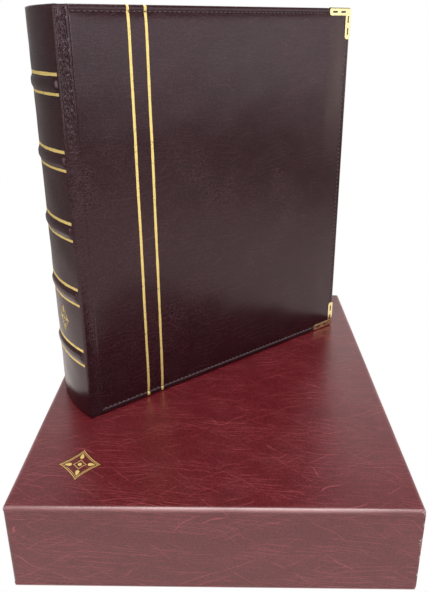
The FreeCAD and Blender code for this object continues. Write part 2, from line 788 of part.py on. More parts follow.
def make_album():
    for word, side in (("front", FRONT), ("rear", REAR)):
        make_cover(word, side)
        for end in (UPPER, LOWER):
            make_corner(word, side, end)
        make_hinge_plate(word, side)
        make_half_rings(word, side)
        for number in range(1, LEAVES_PER_SIDE + 1):
            make_leaf(word, side, number)
    make_front_foil()
    make_spine()
    make_base_plate()
    make_rivets()
    make_lever("upper", UPPER)
    make_lever("lower", LOWER)
    make_lever_pins()


def check_and_export():
    """Refuse to write anything unless every object and every node's shape is sound."""
    doc.recompute()
    failed = [obj.Name for obj in doc.Objects if {"Invalid", "Error"} & set(obj.State)]
    bad = [name for name, obj in nodes.items() if obj.Shape.isNull() or not obj.Shape.isValid()]
    if failed or bad:
        raise RuntimeError(f"failed objects {failed}, bad shapes {bad}")
    os.makedirs("parts", exist_ok=True)
    for name, obj in nodes.items():
        obj.Shape.exportStep(f"parts/{name}.step")
        box = obj.Shape.BoundBox
        print(f"{name}: {len(obj.Shape.Solids)} solids, {obj.Shape.Volume:.1f} mm3, "
              f"{box.XLength:.1f} x {box.YLength:.1f} x {box.ZLength:.1f}")


make_slipcase()
make_album()
check_and_export()
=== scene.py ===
"""Looks of a padded stamp album that stands on its slipcase.

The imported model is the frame. Leatherette, foil, stitching and metal corners are surfaces worked out
here, and the boards, leaves, rings and levers of the model keep their own shapes and get a finish.
Lengths are metres, as in the frame. The album has its own axes: x from the spine to the fore-edge,
y from the front cover to the rear cover with 0 in the middle, and z up from the lower edge.
"""
import json
import math

import bmesh
import bpy
import numpy as np
from mathutils import Matrix, Vector


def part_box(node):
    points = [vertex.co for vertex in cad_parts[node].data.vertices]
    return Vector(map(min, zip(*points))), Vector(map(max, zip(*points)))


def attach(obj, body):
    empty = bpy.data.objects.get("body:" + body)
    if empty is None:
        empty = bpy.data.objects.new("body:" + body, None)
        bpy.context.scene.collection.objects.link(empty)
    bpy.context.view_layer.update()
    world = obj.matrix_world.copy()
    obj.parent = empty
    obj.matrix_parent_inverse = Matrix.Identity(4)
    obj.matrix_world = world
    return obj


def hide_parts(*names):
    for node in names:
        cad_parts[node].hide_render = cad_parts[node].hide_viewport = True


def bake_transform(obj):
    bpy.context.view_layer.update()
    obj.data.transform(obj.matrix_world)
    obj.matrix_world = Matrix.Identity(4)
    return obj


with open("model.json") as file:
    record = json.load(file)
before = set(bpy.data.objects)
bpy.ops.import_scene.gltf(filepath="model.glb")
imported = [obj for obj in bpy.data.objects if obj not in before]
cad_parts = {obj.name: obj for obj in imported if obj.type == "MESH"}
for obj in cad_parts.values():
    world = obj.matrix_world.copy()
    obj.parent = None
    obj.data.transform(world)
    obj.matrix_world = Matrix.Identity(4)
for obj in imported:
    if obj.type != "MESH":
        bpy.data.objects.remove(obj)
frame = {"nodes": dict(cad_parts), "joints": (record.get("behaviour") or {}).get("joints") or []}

bl_info = {
    "name": "Stamp album",
    "version": (1, 0, 0),
    "blender": (4, 5, 0),
    "location": "View3D > Sidebar > Album",
    "description": "Builds the leatherette, foil, metal corners and finishes of a ring-binder stamp album",
    "category": "Object",
}

MM = 0.001
SEAM_GAP = 0.002 * MM
FRONT, REAR = -1, 1
SIDES = (("front", FRONT), ("rear", REAR))
BAND_COUNT = 5


def joint_place(name):
    """Where a joint of the model lies."""
    return np.array(next(joint["pos_m"] for joint in frame["joints"] if joint["name"] == name))


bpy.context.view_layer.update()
FRONT_HINGE, REAR_HINGE = joint_place("front_cover_hinge"), joint_place("rear_cover_hinge")
HALF = np.linalg.norm(REAR_HINGE - FRONT_HINGE) / 2
ACROSS = (REAR_HINGE - FRONT_HINGE) / (2 * HALF)
ALONG = np.array([ACROSS[1], -ACROSS[0], 0.0])
UP = np.array([0.0, 0.0, 1.0])
FOOT, HEAD = (corner.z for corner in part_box("front_skin"))
HEIGHT = HEAD - FOOT
CASE_LOW, CASE_HIGH = np.array(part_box("slipcase_bottom_sheet")[0]), np.array(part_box("slipcase_top_sheet")[1])
CASE_HALF = (CASE_HIGH - CASE_LOW)[:2] / 2


def length_setting(name, description, millimetres):
    """A setting for a length."""
    return bpy.props.FloatProperty(
        name=name, description=description, default=millimetres * MM, unit="LENGTH")


def angle_setting(name, description, degrees):
    """A setting for an angle."""
    return bpy.props.FloatProperty(
        name=name, description=description, default=math.radians(degrees), subtype="ANGLE")


def colour_setting(name, description, default):
    """A setting for a colour."""
    return bpy.props.FloatVectorProperty(
        name=name, description=description, default=default, subtype="COLOR", size=3)


class AlbumLook(bpy.types.PropertyGroup):
    """Sizes and colours of the covers, the joints and the spine."""

    joint_width: length_setting("Joint width", "Width of the flexible strip beside the spine", 9)
    cover_width: length_setting("Cover width", "From the spine's corner to the fore-edge", 281)
    cover_depth: length_setting("Cover depth", "Thickness of a cover at its hem", 4.1)
    turn_in: length_setting("Turn-in", "Leatherette folded over to the inside of a cover", 15.8)
    edge_round: length_setting("Edge rounding", "Radius of the covers' edges", 1.5)
    hem_width: length_setting("Hem width", "Flat border round the padding", 6)
    pad_rise: length_setting("Padding rise", "How far the padding stands out from the hem", 1.1)
    stitch_inset: length_setting("Stitch inset", "From the edge to the stitch line", 4.6)
    stitch_pitch: length_setting("Stitch pitch", "From one stitch to the next", 4.2)
    wrinkle: length_setting("Joint wrinkles", "Depth of the creases in the joints", 0.6)
    spine_rise: length_setting("Spine rise", "How far the spine bulges beyond its corners", 4.5)
    band_rise: length_setting("Band rise", "Height of the raised bands", 1.6)
    band_lift: length_setting("Band shift", "How far the bands sit above equal parting", 1.8)
    foil_width: length_setting("Foil width", "Width of the gold lines", 2.2)
    skin_colour: colour_setting("Leatherette", "Main colour of the album", (0.015, 0.0012, 0.0030))
    grain_colour: colour_setting("Grain", "Colour of the raised grain of the album", (0.050, 0.019, 0.023))
    foil_colour: colour_setting("Foil", "Colour of the gold foil", (1.0, 0.78, 0.28))


class CaseLook(bpy.types.PropertyGroup):
    """Sizes and colours of the slipcase's covering."""

    edge_round: length_setting("Edge rounding", "Radius of the upper and lower edges", 2.6)
    corner_round: length_setting("Corner rounding", "Radius of the upright edges", 2.4)
    wrap: length_setting("Wrap", "How far the sheets turn down over the walls", 3.6)
    recess: length_setting("Wall recess", "How far the walls lie behind the wrap", 0.2)
    mouth_turn: length_setting("Mouth turn-in", "Leatherette folded into the mouth", 16)
    skin_colour: colour_setting("Leatherette", "Main colour of the slipcase", (0.112, 0.0055, 0.0102))
    # Pale colour painted along the upper and lower edges as a highlight
    painted_highlight_colour: colour_setting("Painted edge highlight", "Pale colour painted along the upper and lower edges as a highlight", (0.62, 0.36, 0.36))
    vein_colour: colour_setting("Veins", "Colour of the wrinkle veins", (0.36, 0.062, 0.074))


class StageLook(bpy.types.PropertyGroup):
    """Camera and studio."""

    place: bpy.props.FloatVectorProperty(
        name="Camera place", description="Where the camera stands", subtype="TRANSLATION", size=3,
        default=(0.010944, -0.473558, 0.381679))
    yaw: angle_setting("Yaw", "Turn of the camera to the right", -1.295)
    pitch: angle_setting("Pitch", "Tilt of the camera downwards", 19.036)
    roll: angle_setting("Roll", "Roll of the camera", -0.539)
    lens: bpy.props.FloatProperty(
        name="Lens", description="Focal length in millimetres on a 36 mm sensor", default=34.909)
    shift: bpy.props.FloatVectorProperty(
        name="Shift", description="Shift of the camera's frame", size=2, default=(-0.00321, -0.11605))
    daylight: bpy.props.FloatProperty(
        name="Daylight", description="Strength of the light from all round", default=0.26)
    key_power: bpy.props.FloatProperty(
        name="Key light", description="Power of the large soft light in watts", default=23.0)


def album_look():
    """The album's settings."""
    return bpy.context.scene.album_look


def case_look():
    """The slipcase's settings."""
    return bpy.context.scene.case_look


def album_point(x, y, z):
    """Points in the frame from album coordinates."""
    x, y, z = np.broadcast_arrays(x, y, z)
    base = (FRONT_HINGE + REAR_HINGE) / 2 - ALONG * (album_look().joint_width / 2)
    base[2] = FOOT
    return base + x[..., None] * ALONG + y[..., None] * ACROSS + z[..., None] * UP


def smooth_step(value):
    """0 below 0, 1 above 1 and an even S between."""
    value = np.clip(value, 0, 1)
    return value * value * (3 - 2 * value)


def waves(seed, u, v, shortest, longest, count=14):
    """Soft unevenness, mostly within -1.5 and 1.5.

    Sine waves of random length, heading and phase are summed and divided by the root of their count.
    """
    draw = np.random.default_rng(seed)
    length = np.exp(draw.uniform(np.log(shortest), np.log(longest), count))
    heading = draw.uniform(0, 2 * np.pi, count)
    phase = draw.uniform(0, 2 * np.pi, count)
    total = np.zeros(np.broadcast(u, v).shape)
    for wave, angle, start in zip(length, heading, phase):
        total += np.sin(2 * np.pi * (u * np.cos(angle) + v * np.sin(angle)) / wave + start)
    return total / math.sqrt(count)


def grid_lines(low, high, edge, step):
    """Lines from low to high: at the edge offsets from both ends and evenly between them."""
    inner_low, inner_high = low + edge[-1], high - edge[-1]
    middle = np.linspace(inner_low, inner_high, max(2, round((inner_high - inner_low) / step)))
    return np.concatenate([low + edge[:-1], middle, (high - edge[:-1])[::-1]])


def drop(distance, radius):
    """How far a rounded edge falls at a distance from its border: a quarter circle."""
    inside = radius - np.clip(distance, 0, radius)
    return radius - np.sqrt(radius * radius - inside * inside)


def grid_faces(index):
    """Faces between the neighbours in a grid of point numbers."""
    return np.stack([index[:-1, :-1], index[1:, :-1], index[1:, 1:], index[:-1, 1:]], -1)


def shell(outer, inner, between=()):
    """Points and faces of a closed sheet: two grids, and the loops that join their borders."""
    rows, cols = outer.shape[:2]
    index = np.arange(rows * cols).reshape(rows, cols)
    quads = grid_faces(index).reshape(-1, 4)
    rim = border(index)
    far = rows * cols
    rings = [rim]
    points = [outer.reshape(-1, 3), inner.reshape(-1, 3)]
    for number, loop in enumerate(between):
        rings.append(2 * far + number * len(rim) + np.arange(len(rim)))
        points.append(loop)
    rings.append(rim + far)
    walls = [np.stack([a, np.roll(a, -1), np.roll(b, -1), b], -1) for a, b in zip(rings, rings[1:])]
    return np.concatenate(points), np.concatenate([quads, quads[:, ::-1] + far] + walls)


def border(grid):
    """The outermost entries of a grid, once round."""
    return np.concatenate([grid[0, :-1], grid[:-1, -1], grid[-1, :0:-1], grid[:0:-1, 0]])


def make_piece(name, points, faces, material, sharp=50):
    """A mesh object at the origin with closed seams and outward normals."""
    mesh = bpy.data.meshes.new(name)
    mesh.from_pydata(points.tolist(), [], faces.tolist())
    work = bmesh.new()
    work.from_mesh(mesh)
    bmesh.ops.remove_doubles(work, verts=work.verts, dist=SEAM_GAP)
    bmesh.ops.recalc_face_normals(work, faces=work.faces)
    work.to_mesh(mesh)
    work.free()
    mesh.shade_smooth()
    mesh.set_sharp_from_angle(angle=math.radians(sharp))
    mesh.materials.append(material)
    piece = bpy.data.objects.new(name, mesh)
    bpy.context.scene.collection.objects.link(piece)
    return piece


def add_bevel(piece, width, segments, degrees):
    """Rounds a piece's edges that turn by more than an angle."""
    bevel = piece.modifiers.new("rounded", "BEVEL")
    bevel.width, bevel.segments, bevel.limit_method = width, segments, "ANGLE"
    bevel.angle_limit = math.radians(degrees)


def joined(parts):
    """One set of points and faces from several."""
    points, faces, count = [], [], 0
    for part_points, part_faces in parts:
        points.append(part_points)
        faces.append(part_faces + count)
        count += len(part_points)
    return np.concatenate(points), np.concatenate(faces)


def feed(tree, node, inputs):
    """Sets a node's inputs to values or to other nodes' outputs."""
    for key, value in inputs.items():
        if isinstance(value, bpy.types.NodeSocket):
            tree.links.new(value, node.inputs[key])
        else:
            node.inputs[key].default_value = value


def add_node(tree, kind, inputs=None, **settings):
    """A node with its settings and inputs."""
    node = tree.nodes.new(kind)
    for key, value in settings.items():
        setattr(node, key, value)
    feed(tree, node, inputs or {})
    return node


def maths(tree, operation, first, second=0.0, clamp=False):
    """The result of an operation on one or two values."""
    node = add_node(tree, "ShaderNodeMath", {0: first, 1: second}, operation=operation, use_clamp=clamp)
    return node.outputs[0]


def ramp(tree, value, low, high, to_low=0.0, to_high=1.0):
    """A value carried smoothly from one span to another."""
    node = add_node(tree, "ShaderNodeMapRange", {0: value, 1: low, 2: high, 3: to_low, 4: to_high},
                    interpolation_type="SMOOTHSTEP")
    return node.outputs[0]


def mix_colour(tree, factor, first, second):
    """A blend of two colours."""
    node = add_node(tree, "ShaderNodeMix", {0: factor, 6: first, 7: second}, data_type="RGBA")
    return node.outputs[2]


NOISE_ROUGHNESS = 0.55


def noise(tree, vector, scale, detail):
    """A noise value at each place."""
    node = add_node(tree, "ShaderNodeTexNoise", {"Vector": vector, "Scale": scale, "Detail": detail,
                                                 "Roughness": NOISE_ROUGHNESS})
    return node.outputs["Fac"]


def stretched(tree, vector, scale=(1.0, 1.0, 1.0), turn=(0.0, 0.0, 0.0)):
    """Coordinates that are turned or scaled."""
    node = add_node(tree, "ShaderNodeMapping", {"Vector": vector, "Rotation": turn, "Scale": scale})
    return node.outputs["Vector"]


def streaks(tree, vector, scale, detail):
    """Noise with a scale of its own along each axis."""
    return noise(tree, stretched(tree, vector, scale), 1.0, detail)


def effect(name, outputs):
    """A node group with a vector input and value outputs, empty but for its ends."""
    tree = bpy.data.node_groups.new(name, "ShaderNodeTree")
    tree.interface.new_socket("Vector", in_out="INPUT", socket_type="NodeSocketVector")
    for output in outputs:
        tree.interface.new_socket(output, in_out="OUTPUT", socket_type="NodeSocketFloat")
    return tree, tree.nodes.new("NodeGroupInput").outputs["Vector"], tree.nodes.new("NodeGroupOutput")


# Scales are cells per metre
PEBBLE_SCALE, FIBRE_SCALE, PEBBLE_SHARE, FIBRE_SHARE = 750.0, 1600.0, -0.7, 0.35
PATCH_SCALE, PATCH_SPAN = 22.0, (0.35, 0.7)
SWAY_SCALE, SWAY_REACH = 210.0, 0.007
CRACK_SCALE, CRACK_WIDTH = 270.0, 0.11
CRACK_PATCH_SCALE, CRACK_PATCH_SPAN = 14.0, (0.45, 0.68)


def grain_effect():
    """Pebbled leather grain: fine rounded cells, and swaying cracks between larger ones in patches."""
    if "leather_grain" in bpy.data.node_groups:
        return bpy.data.node_groups["leather_grain"]
    tree, vector, end = effect("leather_grain", ("Height", "Patch", "Crackle"))
    cells = add_node(tree, "ShaderNodeTexVoronoi", {"Vector": vector, "Scale": PEBBLE_SCALE},
                     feature="SMOOTH_F1").outputs["Distance"]
    height = maths(tree, "ADD", maths(tree, "MULTIPLY", cells, PEBBLE_SHARE),
                   maths(tree, "MULTIPLY", noise(tree, vector, FIBRE_SCALE, 2.0), FIBRE_SHARE))
    patch = ramp(tree, noise(tree, vector, PATCH_SCALE, 2.0), *PATCH_SPAN)
    sway = add_node(tree, "ShaderNodeTexNoise", {"Vector": vector, "Scale": SWAY_SCALE, "Detail": 3.0})
    shift = add_node(tree, "ShaderNodeVectorMath", {0: sway.outputs["Color"], 3: SWAY_REACH},
                     operation="SCALE")
    swayed = add_node(tree, "ShaderNodeVectorMath", {0: vector, 1: shift.outputs[0]}, operation="ADD")
    plates = add_node(tree, "ShaderNodeTexVoronoi", {"Vector": swayed.outputs[0], "Scale": CRACK_SCALE},
                      feature="DISTANCE_TO_EDGE")
    cracks = ramp(tree, plates.outputs["Distance"], 0.0, CRACK_WIDTH, 1.0, 0.0)
    where = ramp(tree, noise(tree, vector, CRACK_PATCH_SCALE, 4.0), *CRACK_PATCH_SPAN)
    feed(tree, end, {"Height": height, "Patch": patch, "Crackle": maths(tree, "MULTIPLY", cracks, where)})
    return tree


# Spacing in metres, turn, bend in spacings, half width as a share of the spacing, patch span and strength
CREASE_LAYERS = (
    (4.4 * MM, 0.06, 4.0, 0.068, (0.42, 0.58), 1.0),
    (6.2 * MM, -0.42, 4.0, 0.052, (0.46, 0.60), 1.0),
    (2.2 * MM, 0.15, 6.0, 0.130, (0.40, 0.58), 0.7),
    (9.0 * MM, 0.62, 3.0, 0.040, (0.49, 0.62), 1.0),
)
BEND_SCALE, CREASE_PATCH_SCALE, CLOUD_SCALE = (14.0, 34.0, 34.0), (16.0, 60.0, 60.0), (9.0, 16.0, 16.0)
BREAK_SCALE, BREAK_SPAN = (60.0, 160.0, 160.0), (0.36, 0.54)


def vein_effect():
    """Wrinkle veins: thin lines along the first coordinate, bent by a soft noise.

    They are broken along their length and kept in patches.
    """
    if "leather_veins" in bpy.data.node_groups:
        return bpy.data.node_groups["leather_veins"]
    tree, vector, end = effect("leather_veins", ("Crease", "Cloud"))
    crease = None
    for spacing, turn, bend, width, span, strength in CREASE_LAYERS:
        turned = stretched(tree, vector, turn=(0.0, 0.0, turn))
        across = add_node(tree, "ShaderNodeSeparateXYZ", {0: turned}).outputs["Y"]
        bent = maths(tree, "MULTIPLY", streaks(tree, turned, BEND_SCALE, 2.0), bend)
        level = maths(tree, "FRACT", maths(tree, "ADD", maths(tree, "DIVIDE", across, spacing), bent))
        away = maths(tree, "ABSOLUTE", maths(tree, "SUBTRACT", level, 0.5))
        patch = ramp(tree, streaks(tree, turned, CREASE_PATCH_SCALE, 2.0), *span)
        whole = ramp(tree, streaks(tree, turned, BREAK_SCALE, 1.0), *BREAK_SPAN)
        kept = maths(tree, "MULTIPLY", ramp(tree, away, 0.0, width, strength, 0.0),
                     maths(tree, "MULTIPLY", patch, whole))
        crease = kept if crease is None else maths(tree, "MAXIMUM", crease, kept)
    feed(tree, end, {"Crease": crease, "Cloud": streaks(tree, vector, CLOUD_SCALE, 3.0)})
    return tree


def new_material(name):
    """A material with one Principled shader, its node tree and its object coordinates."""
    material = bpy.data.materials.new(name)
    material.use_nodes = True
    tree = material.node_tree
    shader = next(node for node in tree.nodes if node.type == "BSDF_PRINCIPLED")
    vector = tree.nodes.new("ShaderNodeTexCoord").outputs["Object"]
    return material, tree, shader, vector


def use_effect(tree, group, vector):
    """The outputs of a node group at each place."""
    node = tree.nodes.new("ShaderNodeGroup")
    node.node_tree = group
    tree.links.new(vector, node.inputs["Vector"])
    return node.outputs


def add_bump(tree, shader, height, strength, distance):
    """Gives a shader a relief."""
    bump = add_node(tree, "ShaderNodeBump", {"Height": height, "Strength": strength, "Distance": distance})
    tree.links.new(bump.outputs["Normal"], shader.inputs["Normal"])


def rgba(colour, gain=1.0):
    """An opaque colour, made brighter or darker by a gain."""
    return tuple(channel * gain for channel in colour) + (1.0,)


CLOUD_SPAN = (0.3, 0.7)
GRAIN_RELIEF, LEATHER_BUMP, LEATHER_RELIEF = 0.7, 0.7, 0.045 * MM
ALBUM_CLOUD, ALBUM_GRAIN_SPAN, ALBUM_GRAIN_SHARE = (0.88, 1.12), (-0.22, 0.12), 0.45
ALBUM_CREASE_SHARE, ALBUM_CRACK_SHARE, ALBUM_CRACK_GAIN, ALBUM_CRACK_RELIEF = 0.8, 0.45, 1.3, 1.2
ALBUM_ROUGHNESS, ALBUM_TINT = (0.23, 0.27), (1.0, 0.82, 0.85)
CASE_CLOUD, CASE_GRAIN_SPAN, CASE_GRAIN_SHARE, CASE_HOLLOW = (0.93, 1.07), (-0.25, 0.1), 0.12, 0.82
CASE_VEIN_SPAN, CASE_VEIN_RELIEF, CASE_PAINTED_HIGHLIGHT_SHARE = (0.75, 1.0), 0.6, 0.6
CASE_ROUGHNESS, PAPER_COLOUR = (0.31, 0.36), (0.80, 0.74, 0.70)
CHIP_SPAN, CHIP_SHARE, SPECK_SCALE, SPECK_SPAN = (0.35, 0.7), 0.6, 900.0, (0.52, 0.58)


def clouded(tree, cloud, colour, gains):
    """A colour that drifts between a darker and a paler tone."""
    return mix_colour(tree, ramp(tree, cloud, *CLOUD_SPAN), rgba(colour, gains[0]), rgba(colour, gains[1]))


def leather_bump(tree, shader, grain, marks, relief):
    """The relief of the grain and of its marks."""
    height = maths(tree, "ADD", maths(tree, "MULTIPLY", grain, GRAIN_RELIEF),
                   maths(tree, "MULTIPLY", marks, relief))
    add_bump(tree, shader, height, LEATHER_BUMP, LEATHER_RELIEF)


def point_value(tree, name, output="Fac"):
    """A value that the mesh keeps at its points."""
    return add_node(tree, "ShaderNodeAttribute", attribute_name=name).outputs[output]


def album_leatherette():
    """Near-black burgundy leatherette: glossy, finely grained, with faint crackle in patches."""
    if "crinkled_leatherette" in bpy.data.materials:
        return bpy.data.materials["crinkled_leatherette"]
    material, tree, shader, vector = new_material("crinkled_leatherette")
    look = album_look()
    grain = use_effect(tree, grain_effect(), vector)
    upright = stretched(tree, vector, turn=(-math.pi / 2, 0.0, 0.0))
    veins = use_effect(tree, vein_effect(), upright)
    cloudy = clouded(tree, veins["Cloud"], look.skin_colour, ALBUM_CLOUD)
    raised = ramp(tree, grain["Height"], *ALBUM_GRAIN_SPAN, 0.0, ALBUM_GRAIN_SHARE)
    pebbled = mix_colour(tree, raised, cloudy, rgba(look.grain_colour))
    crease = maths(tree, "MULTIPLY", veins["Crease"], ALBUM_CREASE_SHARE)
    creased = mix_colour(tree, crease, pebbled, rgba(look.grain_colour))
    crack = maths(tree, "MULTIPLY", grain["Crackle"], ALBUM_CRACK_SHARE)
    feed(tree, shader, {
        "Base Color": mix_colour(tree, crack, creased, rgba(look.grain_colour, ALBUM_CRACK_GAIN)),
        "Roughness": ramp(tree, grain["Patch"], 0.0, 1.0, *ALBUM_ROUGHNESS),
        "Specular IOR Level": 0.55, "Specular Tint": rgba(ALBUM_TINT)})
    leather_bump(tree, shader, grain["Height"], grain["Crackle"], ALBUM_CRACK_RELIEF)
    return material


def case_leatherette():
    """Burgundy leatherette with paler wrinkle veins, a light sheen, a pale highlight painted along the upper and
    lower edges, and wear that shows the paper.
    """
    if "veined_leatherette" in bpy.data.materials:
        return bpy.data.materials["veined_leatherette"]
    material, tree, shader, vector = new_material("veined_leatherette")
    look = case_look()
    grain = use_effect(tree, grain_effect(), vector)
    veins = use_effect(tree, vein_effect(), point_value(tree, "lay", "Vector"))
    ground = clouded(tree, veins["Cloud"], look.skin_colour, CASE_CLOUD)
    raised = ramp(tree, grain["Height"], *CASE_GRAIN_SPAN)
    hollow = mix_colour(tree, raised, rgba(look.skin_colour, CASE_HOLLOW), ground)
    pale = maths(tree, "MULTIPLY", raised, CASE_GRAIN_SHARE)
    pebbled = mix_colour(tree, pale, hollow, rgba(look.vein_colour))
    vein = maths(tree, "MULTIPLY", veins["Crease"], ramp(tree, raised, 0.0, 1.0, *CASE_VEIN_SPAN))
    veined = mix_colour(tree, vein, pebbled, rgba(look.vein_colour))
    # The rub mask makes the coat glossier at the edges, and the same mask paints a pale highlight into the base
    # colour there
    rub_and_highlight = point_value(tree, "rub_and_highlight")
    painted_highlight = maths(tree, "MULTIPLY", rub_and_highlight, CASE_PAINTED_HIGHLIGHT_SHARE)
    with_painted_highlight = mix_colour(tree, painted_highlight, veined, rgba(look.painted_highlight_colour))
    specks = ramp(tree, noise(tree, vector, SPECK_SCALE, 2.0), *SPECK_SPAN)
    worn = ramp(tree, point_value(tree, "wear"), *CHIP_SPAN, 0.0, CHIP_SHARE)
    chips = maths(tree, "MULTIPLY", worn, specks)
    feed(tree, shader, {
        "Base Color": mix_colour(tree, chips, with_painted_highlight, rgba(PAPER_COLOUR)),
        "Roughness": ramp(tree, grain["Patch"], 0.0, 1.0, *CASE_ROUGHNESS),
        "Coat Weight": rub_and_highlight, "Coat Roughness": 0.3, "Specular IOR Level": 0.8})
    leather_bump(tree, shader, grain["Height"], veins["Crease"], CASE_VEIN_RELIEF)
    return material


FOIL_WORN_SCALE, FOIL_WORN_SPAN, FOIL_WORN_COLOUR = 700.0, (0.62, 0.70), (0.10, 0.05, 0.03)
FOIL_METALLIC, FOIL_CRINKLE_SCALE, CRINKLE_BUMP, SURFACE_RELIEF = (0.7, 0.2), 1100.0, 0.5, 0.1 * MM


def gold_foil():
    """Stamped gold foil: bright, a little crinkled, with worn specks."""
    if "gold_foil" in bpy.data.materials:
        return bpy.data.materials["gold_foil"]
    material, tree, shader, vector = new_material("gold_foil")
    worn = ramp(tree, noise(tree, vector, FOIL_WORN_SCALE, 3.0), *FOIL_WORN_SPAN)
    feed(tree, shader, {
        "Base Color": mix_colour(tree, worn, rgba(album_look().foil_colour), rgba(FOIL_WORN_COLOUR)),
        "Metallic": ramp(tree, worn, 0.0, 1.0, *FOIL_METALLIC), "Roughness": 0.55})
    add_bump(tree, shader, noise(tree, vector, FOIL_CRINKLE_SCALE, 2.0), CRINKLE_BUMP, SURFACE_RELIEF)
    return material


MARKS_STRETCH, MARKS_SPAN, MARKS_ROUGHNESS = 4, (0.3, 0.7), (0.8, 1.3)


def metal(name, colour, roughness, scale):
    """Polished metal with fine handling marks."""
    if name in bpy.data.materials:
        return bpy.data.materials[name]
    material, tree, shader, vector = new_material(name)
    marks = streaks(tree, vector, (scale, scale, scale * MARKS_STRETCH), 3.0)
    smooth, worn = (roughness * gain for gain in MARKS_ROUGHNESS)
    feed(tree, shader, {"Base Color": rgba(colour), "Metallic": 1.0,
                        "Roughness": ramp(tree, marks, *MARKS_SPAN, smooth, worn)})
    return material


def gilt_brass():
    """Pale gilt metal of the corners."""
    return metal("gilt_brass", (0.95, 0.82, 0.44), 0.22, 300.0)


FIBRE_MOTTLE = (0.85, 1.15)


def matt(name, colour, roughness, scale, strength):
    """Paper, card or thread: one colour with a fibre mottle."""
    if name in bpy.data.materials:
        return bpy.data.materials[name]
    material, tree, shader, vector = new_material(name)
    fibres = noise(tree, vector, scale, 4.0)
    dark, pale = (rgba(colour, gain) for gain in FIBRE_MOTTLE)
    feed(tree, shader, {"Base Color": mix_colour(tree, fibres, dark, pale), "Roughness": roughness})
    add_bump(tree, shader, fibres, strength, SURFACE_RELIEF)
    return material


FILM_COLOUR, FILM_SLANT, FILM_GLOSS = (0.9, 0.92, 0.94), 0.35, 0.5
HAZE_SCALE, HAZE_SPAN, HAZE_ALPHA = 60.0, (0.3, 0.7), (0.05, 0.12)


def clear_film():
    """Clear film: see-through, with a gloss that grows at a slant."""
    if "clear_film" in bpy.data.materials:
        return bpy.data.materials["clear_film"]
    material, tree, shader, vector = new_material("clear_film")
    slant = add_node(tree, "ShaderNodeLayerWeight", {"Blend": FILM_SLANT}).outputs["Fresnel"]
    haze = ramp(tree, noise(tree, vector, HAZE_SCALE, 2.0), *HAZE_SPAN, *HAZE_ALPHA)
    gloss = maths(tree, "MULTIPLY", slant, FILM_GLOSS)
    feed(tree, shader, {"Base Color": rgba(FILM_COLOUR), "Roughness": 0.12,
                        "Alpha": maths(tree, "ADD", gloss, haze, clamp=True)})
    return material


ROUND_OFFSETS = np.linspace(0, 1, 7) ** 2
# Distances of grid lines from a cover's edges: close over the rounding and the hem, wider on the shoulder
COVER_EDGE = np.concatenate([ROUND_OFFSETS * 1.5, np.arange(1.9, 8.2, 0.45), np.arange(9, 31, 1.5)]) * MM
COVER_STEP = 3.2 * MM
FORE_ROLL_START, FORE_ROLL_SPAN, FORE_ROLL_SHARE, FORE_ROLL_POWER = 28 * MM, 22 * MM, 0.85, 1.15
SHOULDER, BACK_LEAD, BACK_SHOULDER = 5.5 * MM, 6 * MM, 14 * MM
GROOVE_DEPTH, GROOVE_WIDTH = 0.5 * MM, 0.7 * MM
HEM_BEAD = 0.22 * MM
COVER_SEED, UNEVEN, UNEVEN_LENGTHS, UNEVEN_FADE = 40, 0.10 * MM, (28 * MM, 120 * MM), 25 * MM
WINDOW_DEPTH, WINDOW_SLOPE = 0.75 * MM, 1.2 * MM


def cover_height(x, z, side):
    """How far the skin stands out from the hem's plane.

    The padding rises from the hem as one minus an exponential of the distance from each edge, and
    rolls off towards the fore-edge. The hem is a low half wave, the stitch line a narrow groove.
    """
    look = album_look()
    fore, head, back = look.cover_width - x, HEIGHT - z, x - look.joint_width
    near = np.minimum(np.minimum(fore, head), z)
    pad = np.full(np.broadcast(x, z).shape, look.pad_rise)
    for distance in (fore, head, z):
        pad = pad * (1 - np.exp(-np.clip(distance - look.hem_width, 0, None) / SHOULDER))
    pad = pad * (1 - np.exp(-(back + BACK_LEAD) / BACK_SHOULDER))
    rolled = np.clip((FORE_ROLL_START - fore) / FORE_ROLL_SPAN, 0, 1) ** FORE_ROLL_POWER
    pad = pad * (1 - FORE_ROLL_SHARE * rolled)
    hem = HEM_BEAD * np.sin(np.pi * np.clip(near / look.hem_width, 0, 1))
    groove = GROOVE_DEPTH * np.exp(-((near - look.stitch_inset) / GROOVE_WIDTH) ** 2)
    soft = UNEVEN * waves(COVER_SEED + side, x, z, *UNEVEN_LENGTHS) * smooth_step(near / UNEVEN_FADE)
    return pad + hem - groove + soft


def cover_faces(x, z, side):
    """Outer and inner distance of a cover's skin from the album's middle plane."""
    look = album_look()
    near = np.minimum(np.minimum(look.cover_width - x, HEIGHT - z), np.minimum(z, x - look.joint_width))
    rounding = drop(near, look.edge_round)
    outer = HALF + cover_height(x, z, side) - rounding
    window = smooth_step((near - look.turn_in) / WINDOW_SLOPE) * WINDOW_DEPTH
    inner = HALF - look.cover_depth + rounding + window
    return outer, inner


def make_cover(word, side):
    """The padded skin of one cover, closed over its board."""
    look = album_look()
    x = grid_lines(look.joint_width, look.cover_width, COVER_EDGE, COVER_STEP)[:, None]
    z = grid_lines(0, HEIGHT, COVER_EDGE, COVER_STEP)[None, :]
    outer, inner = cover_faces(x, z, side)
    points, faces = shell(album_point(x, outer * side, z), album_point(x, inner * side, z))
    piece = make_piece(f"{word}_cover_skin", points, faces, album_leatherette())
    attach(piece, f"{word}_cover")
    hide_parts(f"{word}_skin", f"{word}_padding")


STITCH_LENGTH, STITCH_RADIUS, STITCH_DIP, STITCH_LIFT = 2.7 * MM, 0.5 * MM, 0.35 * MM, 0.12 * MM
STITCH_RINGS, STITCH_SIDES = 6, 6
CORNER_LEG = 27 * MM


